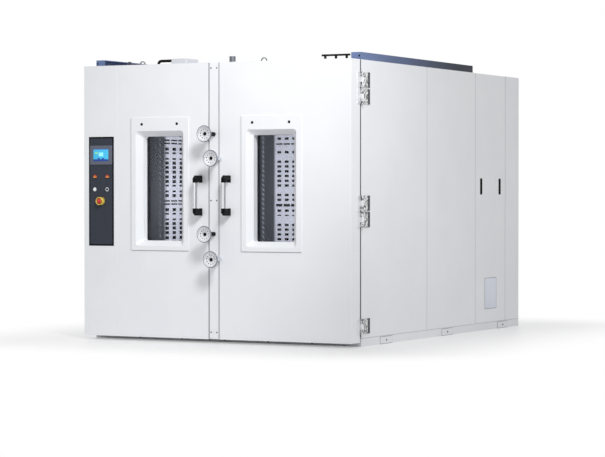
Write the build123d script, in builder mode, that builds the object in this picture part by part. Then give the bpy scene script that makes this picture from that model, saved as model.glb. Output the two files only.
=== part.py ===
from build123d import *
import math
import os

# Walk-in environmental test chamber with two leaves, in millimetres.
# Origin: centre of the plinth's underside, on the floor. +X right, +Y to the back, +Z up.

# Cabinet
width = 2300
depth = 3010
height = 2100
plinth_height = 58
wall_thickness = 100
floor_thickness = 80
front_panel_depth = 1148
chamber_depth = 2087
access_end = 2717
panel_edge = 2
panel_joint = 0.4
access_clearance = 1.5
access_seat = 0.3
lining_thickness = 2

# Leaves, measured on their front face
leaf_thickness = 148
seal_space = 22
leaf_bottom = 30
leaf_edge_radius = 4
column_width = 300
seam_bevel = 1.5
meeting_x = -38
meeting_gap = 7
strip_width = 79.5
strip_thickness = 12
strip_groove = 7
strip_foot = 5

# Windows
window_height_centre = 1159
left_window_x = -468.5
right_window_x = 493
opening_width = 422
opening_height = 872
side_border = 45
sill_border = 37
head_border = 104
frame_proud = 5
splay_inset = 40
splay_depth = 43
tunnel_depth = 55
collar_wall = 4
pane_thickness = 8
glazing_fit = 0.3

# Portal and seals
portal_thickness = 4
portal_rim = 4
seal_inset = 8
seal_width = 30
seal_clearance = 0.3

# Hinges, five on each outer edge
hinge_centres = (148, 930, 1050.5, 1830.5, 1953.5)
hinge_height = 111
hinge_plate = 6
hinge_axis_out = 14
hinge_axis_forward = 12
knuckle_radius = 12
pin_radius = 6
pin_clearance = 0.05
knuckle_gap = 0.5
leaf_plate_reach = 70
wall_plate_reach = 132

# Pull handles
handle_height = 300
handle_centre_z = 1106
left_handle_x = -109.5
right_handle_x = 135
bar_radius = 14
bar_stand_off = 80
bracket_height = 54
bracket_width = 30

# Handwheels
upper_strip_wheel_z = 1564
upper_leaf_wheel_z = 1382
lower_strip_wheel_z = 818
lower_leaf_wheel_z = 630.5
leaf_wheel_offset = 53
wheel_radius = 62.5
wheel_rim = 6
wheel_stand_off = 142
wheel_dish = 16
post_neck_radius = 16
post_bell_radius = 27
post_neck_length = 62
post_length = 100
spindle_radius = 9
spindle_clearance = 0.05
spindle_depth = 60

# Control fascia on the left leaf's column
fascia_width = 225
fascia_height = 836
fascia_thickness = 3
fascia_x = -992
fascia_z = 1138
touch_width = 200
touch_height = 147
touch_z = 1415.5
touch_proud = 6
screen_width = 137
screen_height = 93
screen_inset = 1.5
switch_spacing = 112
lamp_z = 1250
switch_z = 1153
lamp_radius = 11
bezel_radius = 15
button_radius = 10
button_stroke = 3
rotor_radius = 9
stem_clearance = 0.05
stop_z = 1063
stop_plate_radius = 30
stop_plate_thickness = 5
stop_collar_radius = 17
stop_collar_height = 9
stop_stem_radius = 10
stop_head_radius = 20
stop_head_height = 22
stop_stroke = 5
stop_dome_rise = 9

# Plinth
side_rail_width = 70
cross_rail_width = 60
pocket_centres = (420, 1533, 2659)
pocket_width = 186
pocket_height = 34
pocket_web = 24
pocket_floor = 5
cover_width = 207
cover_height = 50
cover_thickness = 2
cover_centre_z = 28
screw_radius = 7
screw_height = 4
sill_bolt_pitch = 373
sill_bolt_z = 17
sill_bolt_radius = 9
sill_bolt_height = 6

# Roof
beam_width = 80
beam_height = 55
beam_wall = 5
beam_length = 2040
beam_outer_inset = 3
beam_hole_radius = 7
beam_hole_from_end = 18
beam_bolt_pitch = 640
roof_item_y = 250
tube_radius = 11
tube_bend = 24
roof_rail = 14
cable_frame_x = -656
cable_frame_width = 177
cable_frame_height = 62
roof_box_x = -496
roof_box_width = 135
roof_box_length = 190
roof_box_height = 60
stub_x = -73
stub_radius = 24
stub_height = 70
stub_wall = 3
eye_xs = (-1000, -880, 203)
eye_radius = 22
eye_wire = 7
roof_bracket_x = 815
roof_bracket_width = 235
roof_bracket_height = 62

# Air circulation behind the slotted panels
duct_sheet = 2
side_duct_space = 50
rear_duct_space = 242
duct_slot_width = 150
duct_slot_height = 22
duct_slot_pitch_across = 196
duct_slot_pitch_up = 124
intake_radius = 150
fan_z = 1500
fan_radius = 230
fan_hub_radius = 60
fan_width = 110
fan_blades = 20
fan_sheet = 3
shaft_radius = 15
shaft_clearance = 0.05
shaft_hole_radius = 22
motor_radius = 110
motor_length = 260
motor_flange_radius = 140
motor_flange_thickness = 14
coil_width = 1400
coil_depth = 130
coil_bottom = 260
coil_height = 760
coil_end_plate = 4
fin_pitch = 100
heater_rows = 3
heater_rod_radius = 6
heater_width = 1200
heater_row_pitch = 50

# Machine room
access_thickness = 22
hand_slot_width = 40
hand_slot_height = 130
hand_slot_z = 1179
hand_slot_inset = 120
hand_slot_depth = 17
corner_sheet = 20
corner_return = 90
top_sheet = 15
deck_thickness = 4
louvre_rows = 10
louvre_width = 620
louvre_height = 14
louvre_pitch = 62
louvre_first_z = 180
vent_radius = 262
vent_z = 1500
guard_ring_pitch = 44
guard_bar = 5
guard_motor_radius = 60
guard_motor_length = 90
vent_fan_radius = 245
vent_fan_hub_radius = 55
vent_fan_depth = 46
vent_fan_blades = 5
vent_fan_pitch_angle = 32
blade_sheet = 4
condenser_width = 900
condenser_height = 820
condenser_depth = 120
condenser_gap = 60
compressor_x = 520
compressor_radius = 120
compressor_height = 420
compressor_y = 2430
compressor_foot = 16
dome_rise = 70

# Places that several pieces share
front_y = -depth / 2
half_width = width / 2
leaf_front_y = front_y - seal_space - leaf_thickness
leaf_back_y = front_y - seal_space
inner_half = half_width - wall_thickness
floor_top = plinth_height + floor_thickness
ceiling_z = height - wall_thickness
bulkhead_front_y = front_y + chamber_depth - wall_thickness
machine_front_y = front_y + chamber_depth
rear_y = front_y + depth
hinge_axis_x = half_width + hinge_axis_out
hinge_axis_y = front_y - hinge_axis_forward
left_meeting_edge = meeting_x - meeting_gap / 2
right_meeting_edge = meeting_x + meeting_gap / 2
strip_x = right_meeting_edge + strip_width / 2
strip_right_edge = right_meeting_edge + strip_width
column_edge = -half_width + column_width
window_collar_width = opening_width + 2 * collar_wall
window_collar_height = opening_height + 2 * collar_wall
glass_depth = splay_depth + tunnel_depth

os.makedirs("parts", exist_ok=True)


def at(distance):
    """Y of a place that lies this far behind the body's front plane."""
    return front_y + distance


def front_plane(y):
    """Plane at depth y that faces the front: sketch x is X and sketch y is Z."""
    return Plane.XZ.offset(-y)


def cap_middle(radius, rise):
    """Middle of the arc of a cap that meets its axis square: distance out and drop from the top."""
    arc_radius = (radius**2 + rise**2) / (2 * rise)
    half_angle = math.asin(radius / arc_radius) / 2
    return arc_radius * math.sin(half_angle), arc_radius * (1 - math.cos(half_angle))


def front_slab(x_span, z_span, y_span, mode=Mode.ADD):
    """Adds to the current part a straight block between two X, two Z and two Y values."""
    with BuildSketch(front_plane(y_span[0])) as outline:
        with Locations((sum(x_span) / 2, sum(z_span) / 2)):
            Rectangle(x_span[1] - x_span[0], z_span[1] - z_span[0])
    extrude(outline.sketch, amount=-(y_span[1] - y_span[0]), mode=mode)


def front_disc(x, z, radius, y_span, mode=Mode.ADD):
    """Adds to the current part a round bar along Y."""
    with BuildSketch(front_plane(y_span[0])) as outline:
        with Locations((x, z)):
            Circle(radius)
    extrude(outline.sketch, amount=-(y_span[1] - y_span[0]), mode=mode)


def upright_disc(x, y, radius, z_span, mode=Mode.ADD):
    """Adds to the current part a round bar along Z."""
    with BuildSketch(Plane.XY.offset(z_span[0])) as outline:
        with Locations((x, y)):
            Circle(radius)
    extrude(outline.sketch, amount=z_span[1] - z_span[0], mode=mode)


# Plinth: welded rails with a fork pocket at each cover
with BuildPart() as base_frame:
    for sign in (-1, 1):
        rail_x = sorted((sign * half_width, sign * (half_width - side_rail_width)))
        front_slab(rail_x, (0, plinth_height), (front_y, rear_y))
    cross_half = half_width - side_rail_width
    for cross_y in (front_y, rear_y - cross_rail_width):
        front_slab((-cross_half, cross_half), (0, plinth_height), (cross_y, cross_y + cross_rail_width))
    for pocket in pocket_centres:
        for sign in (-1, 1):
            rail_y = at(pocket + sign * (pocket_width + cross_rail_width) / 2)
            cross_span = (rail_y - cross_rail_width / 2, rail_y + cross_rail_width / 2)
            front_slab((-cross_half, cross_half), (0, plinth_height), cross_span)
        pocket_span = (at(pocket - pocket_width / 2), at(pocket + pocket_width / 2))
        front_slab((-cross_half, cross_half), (0, pocket_floor), pocket_span)
    with BuildSketch(Plane.YZ.offset(-half_width)):
        for pocket in pocket_centres:
            for sign in (-1, 1):
                half_slot = (pocket_width - pocket_web) / 2
                with Locations((at(pocket + sign * (pocket_web + half_slot) / 2), cover_centre_z)):
                    Rectangle(half_slot, pocket_height)
    extrude(amount=width, mode=Mode.SUBTRACT)
base_frame.part.label = "base_frame"
export_step(base_frame.part, "parts/base_frame.step")

# Covers over the pockets, one screw in each
with BuildPart() as pocket_covers:
    for sign in (-1, 1):
        cover_plane = Plane.YZ.offset(sign * half_width)
        with BuildSketch(cover_plane):
            for pocket in pocket_centres:
                with Locations((at(pocket), cover_centre_z)):
                    RectangleRounded(cover_width, cover_height, 3)
        extrude(amount=sign * cover_thickness)
pocket_covers.part.label = "pocket_covers"
export_step(pocket_covers.part, "parts/pocket_covers.step")

# Bolt and screw heads of the body: pocket screws, front sill bolts and roof beam bolts
beam_x = half_width - beam_outer_inset - beam_width / 2
beam_bolt_count = int((beam_length - 2 * beam_bolt_pitch / 4) // beam_bolt_pitch) + 1
with BuildPart() as body_fasteners:
    for sign in (-1, 1):
        with BuildSketch(Plane.YZ.offset(sign * (half_width + cover_thickness))):
            for pocket in pocket_centres:
                with Locations((at(pocket), cover_centre_z)):
                    Circle(screw_radius)
        extrude(amount=sign * screw_height)
    with BuildSketch(front_plane(front_y)):
        with Locations((0, sill_bolt_z)):
            with GridLocations(sill_bolt_pitch, 1, 5, 1):
                RegularPolygon(sill_bolt_radius, 6)
    extrude(amount=sill_bolt_height)
    with BuildSketch(Plane.XY.offset(height + beam_wall)):
        for sign in (-1, 1):
            with Locations((sign * beam_x, at(beam_length / 2))):
                with GridLocations(1, beam_bolt_pitch, 1, beam_bolt_count):
                    RegularPolygon(sill_bolt_radius, 6)
    extrude(amount=sill_bolt_height)
body_fasteners.part.label = "body_fasteners"
export_step(body_fasteners.part, "parts/body_fasteners.step")

# Insulated floor slab, roof slab and bulkhead between the side walls
with BuildPart() as floor_slab:
    front_slab((-inner_half, inner_half), (plinth_height, floor_top), (front_y, machine_front_y))
floor_slab.part.label = "floor_slab"
export_step(floor_slab.part, "parts/floor_slab.step")

with BuildPart() as roof_panel:
    front_slab((-inner_half, inner_half), (ceiling_z, height), (front_y, machine_front_y))
roof_panel.part.label = "roof_panel"
export_step(roof_panel.part, "parts/roof_panel.step")

with BuildPart() as bulkhead:
    front_slab((-inner_half, inner_half), (floor_top, ceiling_z), (bulkhead_front_y, machine_front_y))
    front_disc(0, fan_z, shaft_hole_radius, (bulkhead_front_y, machine_front_y), Mode.SUBTRACT)
bulkhead.part.label = "bulkhead"
export_step(bulkhead.part, "parts/bulkhead.step")

# Side walls: two insulated panels each, bevelled where they meet
for side, sign in (("left", -1), ("right", 1)):
    wall_x = sorted((sign * half_width, sign * inner_half))
    with BuildPart() as wall:
        front_slab(wall_x, (plinth_height, height), (front_y, at(front_panel_depth) - panel_joint / 2))
        front_slab(wall_x, (plinth_height, height), (at(front_panel_depth) + panel_joint / 2, machine_front_y))
        outer_faces = wall.faces().group_by(Axis.X)[-1 if sign > 0 else 0]
        seam_edges = outer_faces.edges().filter_by(Axis.Z).sort_by(Axis.Y)[1:]
        chamfer(seam_edges, panel_edge)
    wall.part.label = f"wall_{side}"
    export_step(wall.part, f"parts/wall_{side}.step")

# Stainless lining of the test space: one folded sheet ring
with BuildPart() as lining:
    lining_size = (2 * inner_half, ceiling_z - floor_top)
    lining_z = (ceiling_z + floor_top) / 2
    with BuildSketch(front_plane(front_y)):
        with Locations((0, lining_z)):
            Rectangle(*lining_size)
            Rectangle(lining_size[0] - 2 * lining_thickness, lining_size[1] - 2 * lining_thickness,
                      mode=Mode.SUBTRACT)
    extrude(amount=-(bulkhead_front_y - front_y))
lining.part.label = "lining"
export_step(lining.part, "parts/lining.step")

# Portal plate that the door seals close on
with BuildPart() as portal_frame:
    portal_opening = (2 * (inner_half - lining_thickness), ceiling_z - floor_top - 2 * lining_thickness)
    with BuildSketch(front_plane(front_y)):
        with Locations((0, (plinth_height + height) / 2)):
            Rectangle(width - 2 * portal_rim, height - plinth_height - 2 * portal_rim)
        with Locations((0, lining_z)):
            RectangleRounded(*portal_opening, 6, mode=Mode.SUBTRACT)
    extrude(amount=portal_thickness)
portal_frame.part.label = "portal_frame"
export_step(portal_frame.part, "parts/portal_frame.step")

# Slotted air panels in front of the left wall and of the fan space
duct_bottom = floor_top + lining_thickness
duct_top = ceiling_z - lining_thickness
duct_rear_y = bulkhead_front_y - rear_duct_space
side_duct_x = -inner_half + lining_thickness + side_duct_space
slot_rows = int((duct_top - duct_bottom - duct_slot_pitch_up) // duct_slot_pitch_up)
with BuildPart() as duct_left:
    duct_length = duct_rear_y - at(60)
    duct_middle = (at(60) + duct_rear_y) / 2
    duct_middle_z = (duct_top + duct_bottom) / 2
    slot_columns = int((duct_length - duct_slot_width) // duct_slot_pitch_across)
    with BuildSketch(Plane.YZ.offset(side_duct_x)):
        with Locations((duct_middle, duct_middle_z)):
            Rectangle(duct_length, duct_top - duct_bottom)
            with GridLocations(duct_slot_pitch_across, duct_slot_pitch_up, slot_columns, slot_rows):
                Rectangle(duct_slot_width, duct_slot_height, mode=Mode.SUBTRACT)
    extrude(amount=-duct_sheet)
    front_slab((-inner_half + lining_thickness, side_duct_x), (duct_bottom, duct_top),
               (at(60), at(60) + duct_sheet))
duct_left.part.label = "duct_left"
export_step(duct_left.part, "parts/duct_left.step")

with BuildPart() as duct_rear:
    rear_half = inner_half - lining_thickness
    rear_columns = int((2 * rear_half - duct_slot_width) // duct_slot_pitch_across)
    with BuildSketch(front_plane(duct_rear_y)):
        with Locations((0, duct_middle_z)):
            Rectangle(2 * rear_half, duct_top - duct_bottom)
        for row in range(slot_rows):
            slot_z = duct_middle_z + (row - (slot_rows - 1) / 2) * duct_slot_pitch_up
            for column in range(rear_columns):
                slot_x = (column - (rear_columns - 1) / 2) * duct_slot_pitch_across
                near_x = max(abs(slot_x) - duct_slot_width / 2, 0)
                near_z = max(abs(slot_z - fan_z) - duct_slot_height / 2, 0)
                if math.hypot(near_x, near_z) > intake_radius + duct_slot_height:
                    with Locations((slot_x, slot_z)):
                        Rectangle(duct_slot_width, duct_slot_height, mode=Mode.SUBTRACT)
        with Locations((0, fan_z)):
            Circle(intake_radius, mode=Mode.SUBTRACT)
    extrude(amount=-duct_sheet)
duct_rear.part.label = "duct_rear"
export_step(duct_rear.part, "parts/duct_rear.step")

# Circulation fan: backplate, inlet ring and forward-curved blades on a shaft through the bulkhead
fan_back_y = bulkhead_front_y - 30
fan_front_y = fan_back_y - fan_width
blade_start = (intake_radius + 4, 0)
blade_end = (fan_radius * 0.95, fan_radius * 0.22)
with BuildSketch() as blade_outline:
    with BuildLine():
        inner_arc = RadiusArc(blade_start, blade_end, fan_radius / 3)
        outer_arc = RadiusArc(
            (blade_start[0] + fan_sheet, blade_start[1] - fan_sheet),
            (blade_end[0] + fan_sheet, blade_end[1] - fan_sheet),
            fan_radius / 3,
        )
        Line(inner_arc @ 0, outer_arc @ 0)
        Line(inner_arc @ 1, outer_arc @ 1)
    make_face()
with BuildPart() as circulation_fan:
    front_disc(0, fan_z, fan_radius, (fan_back_y - fan_sheet, fan_back_y))
    front_disc(0, fan_z, fan_hub_radius, (fan_back_y - 40, fan_back_y))
    with BuildSketch(front_plane(fan_front_y)):
        with Locations((0, fan_z)):
            Circle(fan_radius)
            Circle(intake_radius, mode=Mode.SUBTRACT)
    extrude(amount=-fan_sheet)
    with BuildSketch(front_plane(fan_front_y + fan_sheet)):
        with Locations((0, fan_z)):
            with PolarLocations(0, fan_blades):
                add(blade_outline.sketch)
    extrude(amount=-(fan_width - 2 * fan_sheet))
    front_disc(0, fan_z, shaft_radius, (fan_back_y, machine_front_y + motor_length / 2))
circulation_fan.part.label = "circulation_fan"
export_step(circulation_fan.part, "parts/circulation_fan.step")

# Fan motor on the bulkhead's machine-room side
with BuildPart() as fan_motor:
    front_disc(0, fan_z, motor_flange_radius, (machine_front_y, machine_front_y + motor_flange_thickness))
    front_disc(0, fan_z, motor_radius, (machine_front_y, machine_front_y + motor_length))
    front_disc(0, fan_z, shaft_radius + shaft_clearance,
               (machine_front_y, machine_front_y + motor_length / 2 + 2), Mode.SUBTRACT)
fan_motor.part.label = "fan_motor"
export_step(fan_motor.part, "parts/fan_motor.step")

# Evaporator and heater: a finned block between end plates that stand on the lining, and rods
coil_back_y = bulkhead_front_y - 20
with BuildPart() as air_coils:
    coil_y = (coil_back_y - coil_depth, coil_back_y)
    fin_count = int(coil_width // fin_pitch)
    front_slab((-coil_width / 2, coil_width / 2), (coil_bottom, coil_bottom + coil_height),
               (coil_y[0] + 12, coil_y[1] - 12))
    for n in range(fin_count):
        fin_x = -coil_width / 2 + (n + 0.5) * coil_width / fin_count
        front_slab((fin_x - 2, fin_x + 2), (coil_bottom, coil_bottom + coil_height), coil_y)
    for sign in (-1, 1):
        plate_x = sorted((sign * coil_width / 2, sign * (coil_width / 2 + coil_end_plate)))
        front_slab(plate_x, (duct_bottom, coil_bottom + coil_height), coil_y)

    # Heater rods above the fins, between two brackets on the bulkhead
    heater_z = coil_bottom + coil_height + 40
    for row in range(heater_rows):
        rod_z = heater_z + 25 + row * heater_row_pitch
        with BuildSketch(Plane.YZ.offset(-heater_width / 2)):
            with Locations((bulkhead_front_y - 60, rod_z)):
                Circle(heater_rod_radius)
        extrude(amount=heater_width)
    for sign in (-1, 1):
        bracket_x = sorted((sign * heater_width / 2, sign * (heater_width / 2 + 4)))
        front_slab(bracket_x, (heater_z, heater_z + heater_rows * heater_row_pitch),
                   (bulkhead_front_y - 80, bulkhead_front_y))
air_coils.part.label = "air_coils"
export_step(air_coils.part, "parts/air_coils.step")

# Machine-room frame: corner posts with the rear return, welded to the roof plate and the deck
with BuildPart() as machine_frame:
    for sign in (-1, 1):
        side_x = sorted((sign * half_width, sign * (half_width - corner_sheet)))
        front_slab(side_x, (plinth_height, height), (at(access_end), rear_y))
        return_x = sorted((sign * (half_width - corner_sheet), sign * (half_width - corner_return)))
        front_slab(return_x, (plinth_height, height), (rear_y - corner_sheet, rear_y))
    top_half = half_width - access_thickness - access_clearance
    rear_half_width = half_width - corner_sheet
    for plate_z in ((height - top_sheet, height), (plinth_height, plinth_height + deck_thickness)):
        front_slab((-top_half, top_half), plate_z, (machine_front_y, at(access_end)))
        front_slab((-rear_half_width, rear_half_width), plate_z, (at(access_end), rear_y - corner_sheet))
machine_frame.part.label = "machine_frame"
export_step(machine_frame.part, "parts/machine_frame.step")

# Removable side panels with two hand slots each
for side, sign in (("left", -1), ("right", 1)):
    with BuildPart() as access_panel:
        panel_x = sorted((sign * half_width, sign * (half_width - access_thickness)))
        panel_y = (machine_front_y + access_clearance, at(access_end) - access_clearance)
        front_slab(panel_x, (plinth_height + access_seat, height - access_clearance), panel_y)
        outer = access_panel.faces().sort_by(Axis.X)[-1 if sign > 0 else 0]
        chamfer(outer.edges().filter_by(Axis.Z), panel_edge)
        with BuildSketch(Plane.YZ.offset(sign * half_width)):
            for slot_y in (panel_y[0] + hand_slot_inset, panel_y[1] - hand_slot_inset):
                with Locations((slot_y, hand_slot_z)):
                    RectangleRounded(hand_slot_width, hand_slot_height, 8)
        extrude(amount=-sign * hand_slot_depth, mode=Mode.SUBTRACT)
    access_panel.part.label = f"access_panel_{side}"
    export_step(access_panel.part, f"parts/access_panel_{side}.step")

# Rear panel with louvres and the fan guard in one piece
rear_panel_half = half_width - corner_return
with BuildPart() as rear_panel:
    front_slab((-rear_panel_half, rear_panel_half), (plinth_height + deck_thickness, height),
               (rear_y - corner_sheet, rear_y))
    with BuildSketch(front_plane(rear_y - corner_sheet)):
        with Locations((0, vent_z)):
            Circle(vent_radius)
        for row in range(louvre_rows):
            with Locations((0, louvre_first_z + row * louvre_pitch)):
                Rectangle(louvre_width, louvre_height)
    extrude(amount=-corner_sheet, mode=Mode.SUBTRACT)
    guard_rings = int((vent_radius - guard_motor_radius) // guard_ring_pitch)
    with BuildSketch(front_plane(rear_y - guard_bar)):
        with Locations((0, vent_z)):
            for ring in reversed(range(guard_rings)):
                ring_radius = guard_motor_radius + (ring + 0.5) * guard_ring_pitch
                Circle(ring_radius + guard_bar / 2)
                Circle(ring_radius - guard_bar / 2, mode=Mode.SUBTRACT)
    extrude(amount=-guard_bar)
    with BuildSketch(front_plane(rear_y - guard_bar)):
        with Locations((0, vent_z)):
            Rectangle(2 * vent_radius + 4, guard_bar)
            Rectangle(guard_bar, 2 * vent_radius + 4)
    extrude(amount=-guard_bar)
    front_disc(0, vent_z, guard_motor_radius, (rear_y - guard_motor_length, rear_y))
    front_disc(0, vent_z, shaft_radius + shaft_clearance,
               (rear_y - guard_motor_length, rear_y - guard_motor_length / 3), Mode.SUBTRACT)
rear_panel.part.label = "rear_panel"
export_step(rear_panel.part, "parts/rear_panel.step")

# Condenser fan: hub, pitched blades and the stub shaft in the guard's motor
vent_fan_back = rear_y - guard_motor_length - 4
with BuildPart() as condenser_fan:
    front_disc(0, vent_z, vent_fan_hub_radius, (vent_fan_back - vent_fan_depth, vent_fan_back))
    front_disc(0, vent_z, shaft_radius, (vent_fan_back, rear_y - guard_motor_length / 3 - 2))
    blade_reach = vent_fan_radius - vent_fan_hub_radius + 6
    hub_centre = (0, vent_fan_back - vent_fan_depth / 2, vent_z)
    for blade in range(vent_fan_blades):
        direction = 2 * math.pi * blade / vent_fan_blades
        outward = (math.cos(direction), 0, math.sin(direction))
        blade_plane = Plane(origin=hub_centre, x_dir=(0, 1, 0), z_dir=outward)
        with BuildSketch(blade_plane.offset(vent_fan_hub_radius - 6)):
            Rectangle(blade_sheet, 80, rotation=vent_fan_pitch_angle)
        with BuildSketch(blade_plane.offset(vent_fan_radius)):
            Rectangle(blade_sheet, 150, rotation=vent_fan_pitch_angle + 30)
        loft()
condenser_fan.part.label = "condenser_fan"
export_step(condenser_fan.part, "parts/condenser_fan.step")

# Condenser in front of its fan, on end plates that stand on the deck
with BuildPart() as condenser:
    condenser_back = vent_fan_back - vent_fan_depth - condenser_gap
    condenser_y = (condenser_back - condenser_depth, condenser_back)
    condenser_z = (vent_z - condenser_height / 2, vent_z + condenser_height / 2)
    front_slab((-condenser_width / 2, condenser_width / 2), condenser_z,
               (condenser_y[0] + 10, condenser_y[1] - 10))
    for n in range(int(condenser_width // fin_pitch)):
        fin_x = -condenser_width / 2 + (n + 0.5) * fin_pitch
        front_slab((fin_x - 2, fin_x + 2), condenser_z, condenser_y)
    for sign in (-1, 1):
        plate_x = sorted((sign * condenser_width / 2, sign * (condenser_width / 2 + coil_end_plate)))
        front_slab(plate_x, (plinth_height + deck_thickness, condenser_z[1]), condenser_y)
condenser.part.label = "condenser"
export_step(condenser.part, "parts/condenser.step")

# Two hermetic compressors: domed cans on their foot plates
with BuildPart() as compressors:
    can_bottom = plinth_height + deck_thickness
    for sign in (-1, 1):
        with BuildSketch(Plane.XY.offset(can_bottom)):
            with Locations((sign * compressor_x, at(compressor_y))):
                Rectangle(2.2 * compressor_radius, 2.2 * compressor_radius)
        extrude(amount=compressor_foot)
        can_base = can_bottom + compressor_foot
        with BuildSketch(Plane.XZ.offset(-at(compressor_y))) as can_profile:
            with BuildLine():
                shoulder = can_base + compressor_height - dome_rise
                left_x = sign * compressor_x
                dome_out, dome_drop = cap_middle(compressor_radius, dome_rise)
                Line((left_x, can_base), (left_x + compressor_radius, can_base))
                Line((left_x + compressor_radius, can_base), (left_x + compressor_radius, shoulder))
                dome_mid = (left_x + dome_out, can_base + compressor_height - dome_drop)
                ThreePointArc((left_x + compressor_radius, shoulder), dome_mid,
                              (left_x, can_base + compressor_height))
                Line((left_x, can_base + compressor_height), (left_x, can_base))
            make_face()
        revolve(axis=Axis((sign * compressor_x, at(compressor_y), 0), (0, 0, 1)))
compressors.part.label = "compressors"
export_step(compressors.part, "parts/compressors.step")

# Roof beams: channels open towards the middle, with a hole in each outer web
with BuildPart() as roof_beams:
    for sign in (-1, 1):
        with BuildSketch(front_plane(front_y)):
            with Locations((sign * beam_x, height + beam_height / 2)):
                Rectangle(beam_width, beam_height)
            with Locations((sign * (beam_x - beam_wall), height + beam_height / 2)):
                Rectangle(beam_width, beam_height - 2 * beam_wall, mode=Mode.SUBTRACT)
        extrude(amount=-beam_length)
        with BuildSketch(Plane.YZ.offset(sign * (beam_x + beam_width / 2))):
            for hole_y in (at(beam_hole_from_end), at(beam_length - beam_hole_from_end)):
                with Locations((hole_y, height + beam_height / 2)):
                    Circle(beam_hole_radius)
        extrude(amount=-sign * beam_wall, mode=Mode.SUBTRACT)
roof_beams.part.label = "roof_beams"
export_step(roof_beams.part, "parts/roof_beams.step")

# Fittings that show over the front edge of the roof
frame_top = height + cable_frame_height - tube_radius
frame_half = cable_frame_width / 2 - tube_radius
foot_point = (cable_frame_x - frame_half, at(roof_item_y), height)
with BuildPart() as roof_black_frames:
    with BuildLine(front_plane(at(roof_item_y))) as frame_path:
        FilletPolyline(
            (cable_frame_x - frame_half, height),
            (cable_frame_x - frame_half, frame_top),
            (cable_frame_x + frame_half, frame_top),
            (cable_frame_x + frame_half, height),
            radius=tube_bend,
        )
    with BuildSketch(Plane(origin=foot_point, z_dir=(0, 0, 1))):
        Circle(tube_radius)
    sweep(path=frame_path.wire())
    bracket_low = (roof_bracket_x - roof_bracket_width / 2, roof_bracket_x + roof_bracket_width / 2)
    rail_y = (at(roof_item_y) - roof_rail / 2, at(roof_item_y) + roof_rail / 2)
    front_slab(bracket_low, (height, height + roof_rail / 2), (rail_y[0] - roof_rail, rail_y[1] + roof_rail))
    rail_top = height + roof_bracket_height
    front_slab(bracket_low, (rail_top - roof_rail, rail_top), rail_y)
    for foot_x in (bracket_low[0] + 2 * roof_rail, roof_bracket_x, bracket_low[1] - 2 * roof_rail):
        front_slab((foot_x - roof_rail / 2, foot_x + roof_rail / 2), (height, rail_top), rail_y)
roof_black_frames.part.label = "roof_black_frames"
export_step(roof_black_frames.part, "parts/roof_black_frames.step")

with BuildPart() as roof_box:
    with BuildSketch(Plane.XY.offset(height)):
        with Locations((roof_box_x, at(roof_item_y))):
            RectangleRounded(roof_box_width, roof_box_length, 8)
    extrude(amount=roof_box_height)
    chamfer(roof_box.faces().sort_by(Axis.Z)[-1].edges(), 3)
roof_box.part.label = "roof_box"
export_step(roof_box.part, "parts/roof_box.step")

with BuildPart() as roof_metal_fittings:
    stub_y = at(roof_item_y)
    upright_disc(stub_x, stub_y, stub_radius * 1.6, (height, height + stub_wall * 2))
    upright_disc(stub_x, stub_y, stub_radius, (height, height + stub_height))
    upright_disc(stub_x, stub_y, stub_radius - stub_wall, (height, height + stub_height), Mode.SUBTRACT)
    for eye_x in eye_xs:
        upright_disc(eye_x, stub_y, eye_wire * 1.8, (height, height + eye_wire))
        ring_centre = height + eye_wire + eye_radius
        with BuildSketch(front_plane(stub_y - eye_wire / 2)):
            with Locations((eye_x, ring_centre)):
                Circle(eye_radius + eye_wire / 2)
                Circle(eye_radius - eye_wire / 2, mode=Mode.SUBTRACT)
        extrude(amount=-eye_wire)
roof_metal_fittings.part.label = "roof_metal_fittings"
export_step(roof_metal_fittings.part, "parts/roof_metal_fittings.step")

# Hinges: fixed plates with outer knuckles and the pin, leaf plates with the middle knuckle
knuckle_third = hinge_height / 3
for side, sign in (("left", -1), ("right", 1)):
    axis_x = sign * hinge_axis_x
    plate_x = sorted((sign * half_width, sign * (half_width + hinge_plate)))
    clear_of_knuckle = knuckle_radius + 1
    with BuildPart() as hinge_fixed:
        for hinge_z in hinge_centres:
            low = hinge_z - hinge_height / 2
            high = hinge_z + hinge_height / 2
            plate_start = hinge_axis_y + clear_of_knuckle
            front_slab(plate_x, (low, high), (plate_start, at(wall_plate_reach)))
            for part_low in (low, high - knuckle_third + knuckle_gap):
                part_high = part_low + knuckle_third - knuckle_gap
                front_slab(plate_x, (part_low, part_high), (hinge_axis_y, plate_start))
                upright_disc(axis_x, hinge_axis_y, knuckle_radius, (part_low, part_high))
            upright_disc(axis_x, hinge_axis_y, pin_radius, (low, high))
    hinge_fixed.part.label = f"hinge_fixed_{side}"
    export_step(hinge_fixed.part, f"parts/hinge_fixed_{side}.step")
    with BuildPart() as hinge_leaf:
        for hinge_z in hinge_centres:
            low = hinge_z - hinge_height / 2
            high = hinge_z + hinge_height / 2
            plate_end = hinge_axis_y - clear_of_knuckle
            front_slab(plate_x, (low, high), (front_y - leaf_plate_reach, plate_end))
            middle = (low + knuckle_third + knuckle_gap / 2, high - knuckle_third - knuckle_gap / 2)
            front_slab(plate_x, middle, (plate_end, hinge_axis_y))
            upright_disc(axis_x, hinge_axis_y, knuckle_radius, middle)
            upright_disc(axis_x, hinge_axis_y, pin_radius + pin_clearance, middle, Mode.SUBTRACT)
    hinge_leaf.part.label = f"hinge_leaf_{side}"
    export_step(hinge_leaf.part, f"parts/hinge_leaf_{side}.step")

# Devices on the control fascia: places shared by the column's bores and the pieces in them
fascia_front_y = leaf_front_y - fascia_thickness
left_switch_x = fascia_x - switch_spacing / 2
right_switch_x = fascia_x + switch_spacing / 2
device_bores = (
    (left_switch_x, switch_z, button_radius),
    (right_switch_x, switch_z, rotor_radius),
    (fascia_x, stop_z, stop_stem_radius),
)
stem_length = 30
bore_extra = 12

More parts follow.
